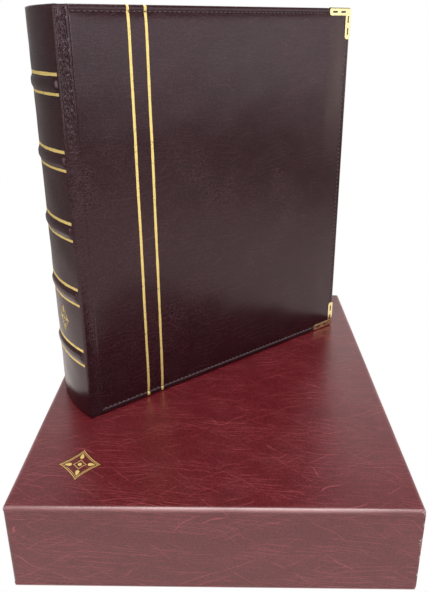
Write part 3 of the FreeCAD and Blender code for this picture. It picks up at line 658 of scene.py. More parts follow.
def stitch_runs(look):
    """Middles and headings (x, z) of the stitches along the tail, the head and the fore-edge."""
    inset, pitch = look.stitch_inset, look.stitch_pitch
    x = np.arange(look.joint_width + pitch, look.cover_width - CORNER_LEG - pitch / 2, pitch)
    z = np.arange(CORNER_LEG + pitch, HEIGHT - CORNER_LEG - pitch / 2, pitch)
    flat, upright = np.array([1.0, 0.0]), np.array([0.0, 1.0])
    runs = [(np.stack([x, np.full_like(x, level)], -1), flat) for level in (inset, HEIGHT - inset)]
    runs.append((np.stack([np.full_like(z, look.cover_width - inset), z], -1), upright))
    return runs


def make_stitching(word, side):
    """The seam round one cover: a bowed thread per stitch, round across and tapering to both ends."""
    look = album_look()
    t = np.linspace(-1, 1, STITCH_RINGS)[None, :, None]
    turn = np.linspace(0, 2 * np.pi, STITCH_SIDES, endpoint=False)[None, None, :]
    radius = STITCH_RADIUS * np.sqrt(1 - t ** 2)
    along = t * STITCH_LENGTH / 2 + 0 * turn
    across = radius * np.cos(turn)
    out = radius * np.sin(turn) - STITCH_DIP * t ** 2 + STITCH_LIFT
    ring = np.arange(STITCH_RINGS * STITCH_SIDES).reshape(STITCH_RINGS, STITCH_SIDES)
    quads = grid_faces(np.pad(ring, ((0, 0), (0, 1)), mode="wrap")).reshape(-1, 4)
    parts = []
    for middles, heading in stitch_runs(look):
        x = middles[:, 0, None, None] + along * heading[0] + across * heading[1]
        z = middles[:, 1, None, None] + along * heading[1] - across * heading[0]
        rest = cover_faces(middles[:, 0], middles[:, 1], side)[0][:, None, None]
        points = album_point(x, (rest + out) * side, z).reshape(-1, 3)
        shift = np.arange(len(middles))[:, None, None] * ring.size
        parts.append((points, (quads[None] + shift).reshape(-1, 4)))
    thread = matt("thread", (0.09, 0.058, 0.064), 0.4, 2500.0, 0.3)
    piece = make_piece(f"{word}_stitching", *joined(parts), thread, sharp=180)
    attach(piece, f"{word}_cover")


CORNER_LEAF, CORNER_METAL, CORNER_ROUND, CORNER_FOLD = 6.5 * MM, 0.5 * MM, 2.6 * MM, 0.8 * MM
LEG_END_ROUND, LEG_END_SPAN = 2.2 * MM, 3.2 * MM
LEAF_INNER_STOP, LEAF_OUTER_STOP = 0.8 * MM, 1.5 * MM
SLOT_STARTS, SLOT_LENGTH, SLOT_WIDTH = (6.8 * MM, 17.2 * MM), 6.0 * MM, 1.6 * MM
CORNER_BEVEL = 0.12 * MM


def corner_outline():
    """A metal corner's outer edge, from leg end to leg end: distances from both edges, and the way out.

    Two straight legs are joined by a quarter circle.
    """
    ends = CORNER_LEG - LEG_END_SPAN * np.linspace(0, 1, 8) ** 2
    stops = np.concatenate([ends, *[(start + SLOT_LENGTH, start) for start in SLOT_STARTS[::-1]]])
    zero, turn = np.zeros(len(stops)), np.linspace(0, np.pi / 2, 9)
    bend_out = -np.column_stack([np.sin(turn), np.cos(turn)])
    bend = CORNER_ROUND * (1 + bend_out)
    edge = np.concatenate([np.column_stack([stops, zero]), bend, np.column_stack([zero, stops[::-1]])])
    out = np.concatenate([np.column_stack([zero, zero - 1]), bend_out, np.column_stack([zero - 1, zero])])
    return edge, out


def corner_section(depth):
    """A metal corner's section: inward distance and height of the front leaf, edge wall and rear leaf."""
    slot = CORNER_LEAF / 2 + SLOT_WIDTH * np.array([0.5, -0.5])
    turn = np.linspace(0, np.pi / 2, 6)
    far = CORNER_LEAF - np.array([0.0, LEAF_INNER_STOP, LEG_END_ROUND])
    leaf = np.concatenate([far, slot, [LEG_END_ROUND, LEAF_OUTER_STOP]])
    inward = np.concatenate([leaf, CORNER_FOLD * (1 - np.sin(turn)) - CORNER_METAL / 2])
    level = np.concatenate([np.zeros(len(leaf)), CORNER_FOLD * (1 - np.cos(turn))])
    high, low = HALF + CORNER_METAL / 2, HALF - depth - CORNER_METAL / 2
    return np.concatenate([inward, inward[::-1]]), np.concatenate([high - level, low + level[::-1]])


def make_corner_metal(word, side, level):
    """One folded metal corner: its section carried along its edge, with rounded leg ends and four slots.

    Points further in lie on straight lines from the edge to the mitred inner border.
    """
    look = album_look()
    edge, out = corner_outline()
    inward, y = corner_section(look.cover_depth)
    inner = np.maximum(edge, CORNER_LEAF)
    share = np.clip(inward, 0, None)[:, None] / CORNER_LEAF
    beyond = np.minimum(inward, 0)[:, None]
    plan = edge[:, None] + (inner - edge)[:, None] * share - out[:, None] * beyond
    reach = edge.max(axis=1)
    half = CORNER_LEAF / 2
    off_middle = np.abs(np.clip(inward, 0, CORNER_LEAF) - half)
    over = np.clip(off_middle - half + LEG_END_ROUND, 0, LEG_END_ROUND)
    inset = LEG_END_ROUND - np.sqrt(LEG_END_ROUND ** 2 - over ** 2)
    near_end = np.clip((reach - CORNER_LEG + LEG_END_SPAN) / LEG_END_SPAN, 0, 1)
    plan -= (near_end[:, None] * inset[None, :])[..., None] * (edge == reach[:, None])[:, None, :]
    z = HEIGHT - plan[..., 1] if level == "upper" else plan[..., 1]
    points = album_point(look.cover_width - plan[..., 0], side * np.broadcast_to(y, z.shape), z)

    quads = grid_faces(np.arange(z.size).reshape(z.shape))
    along, across = (reach[1:] + reach[:-1]) / 2, (inward[1:] + inward[:-1]) / 2
    in_slot = [np.abs(along - start - SLOT_LENGTH / 2) < SLOT_LENGTH / 2 for start in SLOT_STARTS]
    in_row = (np.abs(across - half) < SLOT_WIDTH / 2) & (np.arange(len(across)) < len(across) // 2)
    quads = quads[~(np.any(in_slot, axis=0)[:, None] & in_row[None, :])]
    piece = make_piece(f"{word}_{level}_corner_metal", points.reshape(-1, 3), quads, gilt_brass())
    wall = piece.modifiers.new("metal", "SOLIDIFY")
    wall.thickness, wall.offset = CORNER_METAL, 0.0
    add_bevel(piece, CORNER_BEVEL, segments=2, degrees=50)
    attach(piece, f"{word}_cover")
    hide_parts(f"{word}_{level}_corner")


JOINT_CORNER, JOINT_OVERHANG = 1.35 * MM, 0.15 * MM
JOINT_START, JOINT_START_DEPTH = 0.1 * MM, 2.6 * MM
JOINT_TUCK, JOINT_TUCK_START, JOINT_TUCK_FALL = 0.9 * MM, 0.9, 0.5 * MM
JOINT_SKIN, JOINT_INNER_TOP = 0.7 * MM, 0.2 * MM
JOINT_VALLEY = 0.35 * MM
JOINT_END_GAP, JOINT_ROUND, JOINT_STEP = 0.2 * MM, 1.0 * MM, 1.0 * MM
OUTER_ROUND_SHARE, INNER_ROUND_SHARE = 0.5, 0.3
FOLD_SEED, FOLD_LENGTHS, FOLD_COUNT, FOLD_PULL = 7, (3.0 * MM, 9.0 * MM), 18, 1.6
CRINKLE_SEED, CRINKLE_LENGTHS, CRINKLE_COUNT, CRINKLE_PULL = 17, (1.6 * MM, 4.0 * MM), 12, 0.6
CREASE_REST, CREASE_CAP, CRINKLE_SHARE = 0.6, 0.15 * MM, 0.5
CREASE_START, CREASE_FADE_IN, CREASE_FADE_OUT = 0.8 * MM, 1.5 * MM, 2 * MM
FOOT_CREASES, HEAD_CREASES_FROM, HEAD_CREASES_SPAN = 0.25, 0.6, 0.3
BLEND_INSET = 0.5 * MM


def make_joint(word, side):
    """The flexible strip between the spine and a cover.

    Its path rounds the spine's corner as a quarter circle and runs to the cover in a shallow half
    wave. Creases are folded waves, deepest near the head, and both sides share the path.
    """
    look = album_look()
    arc = np.linspace(0, np.pi / 2, 6)
    centre_x, centre_y = JOINT_CORNER - JOINT_OVERHANG, HALF - JOINT_CORNER
    run = np.linspace(centre_x, look.joint_width + JOINT_TUCK, 34)[1:]
    reach = (run - centre_x) / (look.joint_width - centre_x)
    level = HALF - JOINT_VALLEY * np.sin(np.pi * np.clip(reach, 0, 1))
    level -= JOINT_TUCK_FALL * np.clip(reach - JOINT_TUCK_START, 0, 1)
    start_y = HALF - JOINT_START_DEPTH
    path_x = np.concatenate([[JOINT_START], centre_x - JOINT_CORNER * np.cos(arc), run])[:, None]
    path_y = np.concatenate([[start_y], centre_y + JOINT_CORNER * np.sin(arc), level])[:, None]
    z = grid_lines(JOINT_END_GAP, HEIGHT - JOINT_END_GAP, ROUND_OFFSETS * JOINT_ROUND, JOINT_STEP)[None, :]
    fold = np.abs(waves(FOLD_SEED + side, path_x * FOLD_PULL, z, *FOLD_LENGTHS, FOLD_COUNT))
    fine = np.abs(waves(CRINKLE_SEED + side, path_x, z * CRINKLE_PULL, *CRINKLE_LENGTHS, CRINKLE_COUNT))
    to_head = smooth_step((z / HEIGHT - HEAD_CREASES_FROM) / HEAD_CREASES_SPAN)
    depth = FOOT_CREASES + (1 - FOOT_CREASES) * to_head
    inside = smooth_step((path_x - CREASE_START) / CREASE_FADE_IN)
    inside = inside * smooth_step((look.joint_width - path_x) / CREASE_FADE_OUT)
    crease = look.wrinkle * (CREASE_REST - fold - CRINKLE_SHARE * fine) * depth * inside
    rounding = drop(np.minimum(z, HEIGHT - z), JOINT_ROUND)
    outer = path_y + np.minimum(crease, CREASE_CAP) - rounding * OUTER_ROUND_SHARE
    inner_x = np.maximum(path_x, JOINT_SKIN)
    inner = np.minimum(path_y, HALF - JOINT_INNER_TOP) - JOINT_SKIN + rounding * INNER_ROUND_SHARE
    points, faces = shell(album_point(path_x, outer * side, z), album_point(inner_x, inner * side, z))
    piece = make_piece(f"{word}_joint_skin", points, faces, album_leatherette(), sharp=70)
    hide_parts(f"{word}_joint_strip")
    ends = [album_point(np.array(x), np.array(HALF * side), np.array(HEIGHT / 2))
            for x in (BLEND_INSET, look.joint_width - BLEND_INSET)]
    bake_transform(piece)


SPINE_LAYERS, SPINE_SKIN, SPINE_LAP = 3.6 * MM, 0.8 * MM, 0.4 * MM
SPINE_TURN_IN, SPINE_TURN_SLOPE = 12 * MM, 1.0 * MM
SPINE_SIDE_GAP, SPINE_EDGE, SPINE_EDGE_SHARE, SPINE_END_ROUND = 0.9 * MM, 0.9 * MM, 0.5, 1.4 * MM
SPINE_STEP_ACROSS, SPINE_STEP_UP = 1.2 * MM, 1.0 * MM
SPINE_SEED, SPINE_UNEVEN, SPINE_UNEVEN_LENGTHS = 5, 0.12 * MM, (22 * MM, 90 * MM)
BAND_HALF, BAND_SOFT = 6.6 * MM, 5.2 * MM
BAND_END, BAND_END_SOFT = 28.2 * MM, 4.0 * MM
BAND_PAIR = 13.7 * MM


def spine_radius():
    """Radius of the spine's arc, from its half width and its rise."""
    rise = album_look().spine_rise
    return (HALF * HALF + rise * rise) / (2 * rise)


def band_heights():
    """The middles of the raised bands, which part the spine into equal panels."""
    return HEIGHT * np.arange(1, BAND_COUNT + 1) / (BAND_COUNT + 1) + album_look().band_lift


def spine_height(y, z):
    """How far the spine's skin stands out from its arc: a rounded step per band, faded at its ends."""
    look = album_look()
    away = np.min(np.abs(z[..., None] - band_heights()), axis=-1)
    hump = smooth_step((BAND_HALF - away) / BAND_SOFT)
    ends = smooth_step((BAND_END - np.abs(y)) / BAND_END_SOFT)
    return look.band_rise * hump * ends + SPINE_UNEVEN * waves(SPINE_SEED, y, z, *SPINE_UNEVEN_LENGTHS)


def spine_point(y, z, out):
    """Points over the spine's arc, out from it along its radius."""
    radius, rise = spine_radius(), album_look().spine_rise
    angle = np.arcsin(y / radius)
    far = radius + out
    return album_point(radius - rise - far * np.cos(angle), far * np.sin(angle), z)


def make_spine():
    """The spine's skin over its bands, turned in over the board at the head and the tail."""
    width = HALF - SPINE_SIDE_GAP
    y = grid_lines(-width, width, ROUND_OFFSETS * SPINE_EDGE, SPINE_STEP_ACROSS)[:, None]
    z = grid_lines(0, HEIGHT, ROUND_OFFSETS * SPINE_END_ROUND, SPINE_STEP_UP)[None, :]
    y, z = np.broadcast_arrays(y, z)
    end = np.minimum(z, HEIGHT - z)
    end_drop = drop(end, SPINE_END_ROUND)
    rounding = np.maximum(end_drop, drop(width - np.abs(y), SPINE_EDGE) * SPINE_EDGE_SHARE)
    fold = smooth_step((SPINE_TURN_IN - end) / SPINE_TURN_SLOPE)
    inner = -SPINE_SKIN - (SPINE_LAYERS - SPINE_SKIN + SPINE_LAP) * fold + end_drop
    points, faces = shell(spine_point(y, z, spine_height(y, z) - rounding), spine_point(y, z, inner))
    piece = make_piece("spine_leatherette", points, faces, album_leatherette())
    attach(piece, "spine")
    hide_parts("spine_skin", "spine_bands")


FOIL_LIFT, FOIL_SINK = 0.07 * MM, 0.05 * MM
FOIL_ACROSS = np.linspace(-0.5, 0.5, 4)[None, :]
FOIL_LINES, FOIL_RUN_IN, FOIL_STEP = (54 * MM, 68 * MM), 10 * MM, 1.6 * MM
RAGGED_SEED, RAGGED, RAGGED_LENGTHS = 60, 0.07, (3 * MM, 30 * MM)
STRAY_SEED, STRAY, STRAY_LENGTHS = 70, 0.12 * MM, (60 * MM, 200 * MM)
SPINE_FOIL_END, SPINE_FOIL_STEPS = 27.2 * MM, 60
SPINE_RAGGED_SEED, SPINE_RAGGED, SPINE_RAGGED_LENGTHS = 80, 0.08, (3 * MM, 25 * MM)
# Side of the band, and width as a share of the foil width
SPINE_FOIL_PAIR = ((-1, 0.9), (1, 1.05))


def make_front_foil():
    """Two gold lines on the front cover: the cover's own section, carried across a narrow ragged width."""
    look = album_look()
    z = grid_lines(0, HEIGHT, COVER_EDGE, FOIL_STEP)
    run = z[z < FOIL_RUN_IN]
    path = np.concatenate([run[::-1], z, HEIGHT - run])
    inside = np.concatenate([np.ones(len(run)), np.zeros(len(z)), np.ones(len(run))]).astype(bool)
    flat = np.clip(np.minimum(path, HEIGHT - path) / look.edge_round, 0, 1)
    beyond = np.sign(path - HEIGHT / 2) * (1 - flat)
    parts = []
    for number, middle in enumerate(FOIL_LINES):
        ragged = 1 + RAGGED * waves(RAGGED_SEED + number, path, 0 * path, *RAGGED_LENGTHS)
        stray = STRAY * waves(STRAY_SEED + number, path, 0 * path, *STRAY_LENGTHS)
        x = middle + FOIL_ACROSS * (look.foil_width * ragged)[:, None] + stray[:, None]
        outer, inner = cover_faces(x, np.broadcast_to(path[:, None], x.shape), FRONT)
        layers = []
        for lift in (FOIL_LIFT, -FOIL_SINK):
            raised = (lift * flat)[:, None]
            y = np.where(inside[:, None], inner - raised, outer + raised)
            layers.append(album_point(x, y * FRONT, (path + beyond * lift)[:, None]))
        parts.append(shell(*layers))
    piece = make_piece("front_foil", *joined(parts), gold_foil())
    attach(piece, "front_cover")
    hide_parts("front_foil_lines")


def make_spine_foil():
    """A gold line below and above each raised band, following the spine's skin."""
    look = album_look()
    y = np.linspace(-SPINE_FOIL_END, SPINE_FOIL_END, SPINE_FOIL_STEPS)[:, None]
    parts = []
    for number, middle in enumerate(band_heights()):
        for end, share in SPINE_FOIL_PAIR:
            uneven = waves(SPINE_RAGGED_SEED + number * 2 + end, y, 0 * y, *SPINE_RAGGED_LENGTHS)
            width = look.foil_width * share * (1 + SPINE_RAGGED * uneven)
            z = middle + end * BAND_PAIR / 2 + FOIL_ACROSS * width
            across = np.broadcast_to(y, z.shape)
            skin = spine_height(across, z)
            layers = [spine_point(across, z, skin + lift) for lift in (FOIL_LIFT, -FOIL_SINK)]
            parts.append(shell(*layers))
    piece = make_piece("spine_foil", *joined(parts), gold_foil())
    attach(piece, "spine")
    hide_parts("spine_foil_lines")


LOZENGE_POWER = 0.86
ORNAMENT_RINGS = ((0.95, 1.0), (0.84, 0.87), (0.30, 0.34))
ORNAMENT_PETALS, PETAL_PLACE, PETAL_SIZE, PETAL_SLIM, PETAL_POINT = 4, 0.56, 0.17, 0.5, 0.6
ORNAMENT_STEPS, ORNAMENT_DOT, ORNAMENT_EYE = 96, 0.1, 0.1


def ornament(width, height):
    """Flat outlines of a traditional tooled lozenge, as pairs of closed curves with foil between.

    Each ring lies between two scaled superellipses; four drops and a dot stand inside.
    """
    angle = np.linspace(0, 2 * np.pi, ORNAMENT_STEPS, endpoint=False)
    c, s = np.cos(angle), np.sin(angle)
    both = np.stack([c, s], -1)
    curve = np.sign(both) * np.abs(both) ** (2 / LOZENGE_POWER)
    half = np.array([width, height]) / 2
    shapes = [(curve * inner * half, curve * outer * half) for inner, outer in ORNAMENT_RINGS]
    for number in range(ORNAMENT_PETALS):
        heading = 2 * np.pi * number / ORNAMENT_PETALS
        long = np.array([math.cos(heading), math.sin(heading)])
        wide = np.array([-long[1], long[0]])
        bulge = PETAL_SLIM * s * (1 - PETAL_POINT * c)
        petal = PETAL_SIZE * (c[:, None] * long + bulge[:, None] * wide)
        centre = PETAL_PLACE * long
        shapes.append(((centre + petal * ORNAMENT_EYE) * half, (centre + petal) * half))
    dot = ORNAMENT_DOT * both * half.min()
    shapes.append((dot * ORNAMENT_EYE, dot))
    return shapes


def ornament_parts(shapes, place):
    """Closed foil rings between the outlines, put on a surface by place(u, v, lift).

    A ring's section goes out over the foil's face and back under it, and is carried round the outlines.
    """
    parts = []
    share = np.linspace(0, 1, 3)[:, None, None]
    for inner, outer in shapes:
        flat = inner[None] * (1 - share) + outer[None] * share
        face, back = (place(flat[..., 0], flat[..., 1], lift) for lift in (FOIL_LIFT, -FOIL_SINK))
        loop = np.concatenate([face, back[::-1]])
        index = np.arange(loop.shape[0] * loop.shape[1]).reshape(loop.shape[:2])
        faces = grid_faces(np.pad(index, (0, 1), mode="wrap"))
        parts.append((loop.reshape(-1, 3), faces.reshape(-1, 4)))
    return parts


SPINE_ORNAMENT = (17 * MM, 26 * MM)
CASE_ORNAMENT = (31 * MM, 31 * MM)
CASE_ORNAMENT_PLACE = (-101 * MM, -125.5 * MM)


def make_ornaments():
    """Plain tooled lozenges in gold: one on the spine's second panel from the foot, one on the slipcase."""
    bands = band_heights()
    middle = (bands[0] + bands[1]) / 2

    def on_spine(u, v, lift):
        z = middle + v
        return spine_point(u, z, spine_height(u, z) + lift)

    def on_case(u, v, lift):
        x, y = CASE_ORNAMENT_PLACE[0] + u, CASE_ORNAMENT_PLACE[1] + v
        return np.stack([x, y, CASE_HIGH[2] + lift + 0 * x], -1)

    for name, body, size, place in (("spine_ornament", "spine", SPINE_ORNAMENT, on_spine),
                                    ("slipcase_ornament", "slipcase", CASE_ORNAMENT, on_case)):
        piece = make_piece(name, *joined(ornament_parts(ornament(*size), place)), gold_foil())
        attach(piece, body)


CASE_BOARD_STACK, CASE_SHEET = 4.1 * MM, 0.75 * MM
CASE_FLANGE = 3.0 * MM
CASE_UNDER_SHARE = 0.9975
TINY = 1e-9
# Distances of grid lines from a sheet's edges: close over the rounding, then out to the mouth's turn-in
CASE_EDGE = np.concatenate([ROUND_OFFSETS * 2.4, [3.2, 4.2, 5.5, 8.0, 15.0, 16.5]]) * MM
CASE_STEP = 7 * MM
SAG_SEED, SAG, SAG_REST, SAG_LENGTHS, SAG_FADE = 30, 0.1 * MM, 1.5, (50 * MM, 180 * MM), 20 * MM
# Millimetres out from the edge, and share of the wrap's depth
CASE_PROFILE = ((0.0, 0.78), (0.0, 0.86), (-0.06, 0.93), (-0.2, 0.98), (-0.45, 1.0))


def round_plan(x, y, half, radius):
    """A rectangular grid with its four corners squeezed into quarter discs."""
    core = half - radius
    far_x, far_y = np.abs(x), np.abs(y)
    a, b = np.clip(far_x - core[0], 0, None) / radius, np.clip(far_y - core[1], 0, None) / radius
    plan_x = np.where(b > 0, np.minimum(far_x, core[0]) + radius * a * np.sqrt(1 - b * b / 2), far_x)
    plan_y = np.where(a > 0, np.minimum(far_y, core[1]) + radius * b * np.sqrt(1 - a * a / 2), far_y)
    return plan_x * np.sign(x), plan_y * np.sign(y)


def plan_depth(x, y, half, radius):
    """Distance to the border of a rectangle with round corners, and the heading out to it."""
    core = half - radius
    lead = np.stack([x - np.clip(x, -core[0], core[0]), y - np.clip(y, -core[1], core[1])], -1)
    length = np.linalg.norm(lead, axis=-1)
    flat = np.minimum(half[0] - np.abs(x), half[1] - np.abs(y))
    return np.where(length > 0, radius - length, flat), lead / np.maximum(length, TINY)[..., None]


WEAR_EDGE, WEAR_CORNER = 1.6 * MM, 3.0 * MM
WEAR_EDGE_SHARE, WEAR_CORNER_SHARE = 1.5, 1.3
WEAR_REST, WEAR_BREAKS, WEAR_LENGTHS = 0.7, 0.5, (4 * MM, 18 * MM)
# Spread and breaks of the mask for rubbed edges and their painted highlight
RUB_AND_HIGHLIGHT_SPAN, RUB_AND_HIGHLIGHT_REST, RUB_AND_HIGHLIGHT_BREAKS, RUB_AND_HIGHLIGHT_LENGTHS = 1.7 * MM, 0.75, 0.35, (30 * MM, 160 * MM)
RUB_AND_HIGHLIGHT_SEED_STEP = 10
LAY_DEPTH, LAY_EDGE = 2 * MM, 4 * MM


def wear_marks(points, seed):
    """How worn each point is: high at the mouth's corners and upright edges, with random breaks."""
    to_mouth = CASE_HIGH[0] - points[:, 0]
    to_side = CASE_HALF[1] - np.abs(points[:, 1])
    edge = np.exp(-np.hypot(to_mouth, to_side) / WEAR_EDGE)
    corner = np.exp(-(to_mouth + to_side + np.abs(CASE_HIGH[2] - points[:, 2])) / WEAR_CORNER)
    broken = WEAR_REST + WEAR_BREAKS * waves(seed, points[:, 2], points[:, 1], *WEAR_LENGTHS)
    return np.clip(WEAR_EDGE_SHARE * edge * broken + WEAR_CORNER_SHARE * corner, 0, 1)


def rub_and_highlight_marks(points, seed):
    """How rubbed each point is, and how strongly a highlight is painted there: high where the upper and lower
    borders turn over, with soft breaks.
    """
    out = np.min(CASE_HALF - np.abs(points[:, :2]), axis=1)
    down = np.minimum(CASE_HIGH[2] - points[:, 2], points[:, 2] - CASE_LOW[2])
    arris = np.exp(-((np.maximum(out, 0) - down) / RUB_AND_HIGHLIGHT_SPAN) ** 2) * (out + down < 2 * RUB_AND_HIGHLIGHT_SPAN)
    broken = RUB_AND_HIGHLIGHT_REST + RUB_AND_HIGHLIGHT_BREAKS * waves(seed, points[:, 0], points[:, 1], *RUB_AND_HIGHLIGHT_LENGTHS)
    return arris * np.clip(broken, 0, 1)


def leather_lay(points):
    """How the leather lies: along x and across y plus z, but along y and up z on the closed long side."""
    x, y, z = points.T
    side = (x < CASE_LOW[0] + LAY_DEPTH) & (z > LAY_EDGE) & (z < CASE_HIGH[2] - LAY_EDGE)
    return np.column_stack([np.where(side, y, x), np.where(side, z, y + z), np.zeros(len(x))])


def add_leather_marks(piece, seed):
    """Stores how worn each point is, how rubbed it is with its painted edge highlight, and how the leather lies
    there.
    """
    points = np.empty(len(piece.data.vertices) * 3)
    piece.data.vertices.foreach_get("co", points)
    points = points.reshape(-1, 3)
    marks = {"wear": wear_marks(points, seed), "rub_and_highlight": rub_and_highlight_marks(points, seed + RUB_AND_HIGHLIGHT_SEED_STEP)}
    for name, values in marks.items():
        attribute = piece.data.attributes.new(name, "FLOAT", "POINT")
        attribute.data.foreach_set("value", values.astype(np.float32))
    lay = piece.data.attributes.new("lay", "FLOAT_VECTOR", "POINT")
    lay.data.foreach_set("vector", leather_lay(points).astype(np.float32).ravel())


SHEET_MARKS_SEED, WALL_MARKS_SEED = 90, 95


def make_case_sheet(name, node, top):
    """The upper or lower sheet: a flat field with a quarter-round border that turns down in a bead."""
    look = case_look()
    x = grid_lines(-CASE_HALF[0], CASE_HALF[0], CASE_EDGE, CASE_STEP)[:, None]
    y = grid_lines(-CASE_HALF[1], CASE_HALF[1], CASE_EDGE, CASE_STEP)[None, :]
    x, y = round_plan(*np.broadcast_arrays(x, y), CASE_HALF, look.corner_round)
    near, heading = plan_depth(x, y, CASE_HALF, look.corner_round)
    level = CASE_HIGH[2] if top else CASE_LOW[2]
    inward = -1 if top else 1
    sag = SAG * np.maximum(SAG_REST - waves(SAG_SEED + inward, x, y, *SAG_LENGTHS), 0)
    outer = level + inward * (drop(near, look.edge_round) + sag * smooth_step(near / SAG_FADE) * top)
    walls = np.minimum(CASE_HALF[1] - np.abs(y), CASE_HALF[0] + x)
    deep = (walls < CASE_FLANGE) | (CASE_HALF[0] - x < look.mouth_turn)
    under = level + inward * np.where(deep, CASE_BOARD_STACK, CASE_SHEET)
    rim_x, rim_y, rim_way = border(x), border(y), border(heading)
    loops = [np.column_stack([rim_x + rim_way[:, 0] * out * MM, rim_y + rim_way[:, 1] * out * MM,
                              np.full(len(rim_x), level + inward * look.wrap * share)])
             for out, share in CASE_PROFILE]
    inner = np.stack([x * CASE_UNDER_SHARE, y * CASE_UNDER_SHARE, under], -1)
    points, faces = shell(np.stack([x, y, outer], -1), inner, loops)
    piece = make_piece(name, points, faces, case_leatherette())
    add_leather_marks(piece, SHEET_MARKS_SEED + inward)
    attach(piece, "slipcase")
    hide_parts(node)


WALL_SHEET, WALL_STACK, WALL_BEVEL = 0.5 * MM, 3.8 * MM, 0.9 * MM
# Distances of grid lines from the mouth: close at its edge and at the end of its turn-in
WALL_ENDS = np.array([0, 0.4, 1.0, 2.0, 4.0, 8.0, 15.0, 16.0, 16.2]) * MM
WALL_MOUTH_GAP, WALL_RUN_START = 0.3 * MM, 20 * MM
WALL_STEPS, WALL_LEVELS, WALL_LAP = 60, 24, 0.9
BOW_SEED, BOW, BOW_REST, BOW_CAP, BOW_LENGTHS = 33, 0.07 * MM, 1.5, 0.2 * MM, (40 * MM, 160 * MM)


def make_case_walls():
    """The wall band: a U of two straight runs and quarter-round corners, thicker at the mouth's turn-in."""
    look = case_look()
    half = CASE_HALF - look.recess
    core = half - look.corner_round
    quarter = np.linspace(0, np.pi / 2, 8)
    straight = np.linspace(half[0] - WALL_RUN_START, -core[0], WALL_STEPS)
    run = np.concatenate([half[0] - WALL_MOUTH_GAP - WALL_ENDS, straight])
    turn_x = -core[0] - look.corner_round * np.sin(quarter)
    turn_y = core[1] + look.corner_round * np.cos(quarter)
    side = np.linspace(-core[1], core[1], WALL_STEPS)[1:-1]
    path = np.concatenate([
        np.column_stack([run, np.full(len(run), -half[1])]), np.column_stack([turn_x, -turn_y])[1:],
        np.column_stack([np.full(len(side), -half[0]), side]), np.column_stack([turn_x, turn_y])[::-1],
        np.column_stack([run, np.full(len(run), half[1])])[::-1][1:]])
    ahead = np.gradient(path, axis=0)
    inward = np.column_stack([ahead[:, 1], -ahead[:, 0]]) / np.linalg.norm(ahead, axis=1)[:, None]
    depth = np.where(half[0] - path[:, 0] < look.mouth_turn, WALL_STACK, WALL_SHEET)
    z = np.linspace(look.wrap * WALL_LAP, CASE_HIGH[2] - look.wrap * WALL_LAP, WALL_LEVELS)[None, :]
    bow = BOW * (waves(BOW_SEED, path[:, :1] + path[:, 1:], z, *BOW_LENGTHS) + BOW_REST)
    bow = np.clip(bow, 0, BOW_CAP)
    layers = []
    for offset in (bow, np.broadcast_to(depth[:, None], bow.shape)):
        flat = path[:, None, :] + inward[:, None, :] * offset[..., None]
        layers.append(np.concatenate([flat, np.broadcast_to(z, bow.shape)[..., None]], -1))
    piece = make_piece("slipcase_walls", *shell(*layers), case_leatherette())
    add_leather_marks(piece, WALL_MARKS_SEED)
    add_bevel(piece, WALL_BEVEL, segments=3, degrees=60)
    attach(piece, "slipcase")
    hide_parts("slipcase_wall_band")


def cad_finishes():
    """The finish of each kind of CAD node, by a word in its name."""
    return (("strips", clear_film()),
            ("leaf", matt("black_card", (0.012, 0.012, 0.014), 0.55, 900.0, 0.25)),
            ("endpaper", matt("endpaper", (0.075, 0.014, 0.02), 0.6, 500.0, 0.3)),
            ("lining", matt("lining_paper", (0.66, 0.63, 0.57), 0.75, 420.0, 0.3)),
            ("board", matt("grey_board", (0.32, 0.30, 0.27), 0.85, 350.0, 0.4)),
            ("", metal("bright_nickel", (0.72, 0.70, 0.67), 0.22, 240.0)))


def dress_cad():
    """Gives every CAD node its finish."""
    finishes = cad_finishes()
    for name, node in frame["nodes"].items():
        node.data.materials.clear()
        node.data.materials.append(next(finish for word, finish in finishes if word in name))


STAGE_HALF, FLOOR_GAP = 4.0, 0.2 * MM
FLOOR_COLOUR, SKY_COLOUR, WHITE = (0.86, 0.85, 0.84), (1.0, 0.98, 0.97), (1.0, 1.0, 1.0)
SENSOR_WIDTH, CLIP_START = 36, 0.01
# Name, place, target, size, share of the key light's power and colour
LIGHTS = (
    ("key", (0.05, -0.35, 1.75), (0.0, -0.1, 0.05), (1.2, 0.9), 1.0, (1.0, 0.98, 0.96)),
    ("edge_strip", (0.0, -1.1, 1.25), (0.0, -0.15, 0.07), (1.8, 0.18), 0.21, (1.0, 0.98, 0.97)),
    ("back_panel", (0.0, 1.7, 0.9), (0.0, 0.0, 0.3), (2.6, 1.2), 0.17, (1.0, 0.98, 0.97)),
    ("back_right_panel", (0.55, 1.68, 1.05), (0.1, 0.0, 0.1), (0.9, 1.0), 0.075, (1.0, 0.97, 0.95)),
    ("right_panel", (1.64, -0.73, 0.45), (0.0, 0.0, 0.2), (1.25, 0.7), 0.17, (0.88, 0.94, 1.0)),
    ("right_back_panel", (1.75, 0.3, 0.4), (0.0, 0.1, 0.25), (0.7, 0.8), 0.12, (1.0, 0.92, 0.84)),
    ("right_strip", (0.9, -1.25, 0.55), (-0.1, 0.0, 0.3), (0.25, 0.5), 0.18, (0.80, 0.90, 1.0)),
    ("back_left_panel", (-0.8, 1.6, 0.95), (-0.1, 0.0, 0.1), (0.9, 0.9), 0.06, (1.0, 0.97, 0.96)),
    ("left_window", (-1.2, -1.35, 0.35), (0.0, 0.0, 0.2), (0.8, 0.7), 0.27, (0.97, 0.95, 0.95)),
)
# Pool of light painted on the floor as a glow that reflections see: centre, full-strength reach, end of fade,
# dimmest strength and tint
PAINTED_LIGHT_POOL_CENTRE, PAINTED_LIGHT_POOL_NEAR, PAINTED_LIGHT_POOL_FAR, PAINTED_LIGHT_POOL_DIM = (0.12, -0.2, 0.0), 0.42, 1.0, 0.3
PAINTED_LIGHT_POOL_COLOUR = (1.0, 0.90, 0.86)


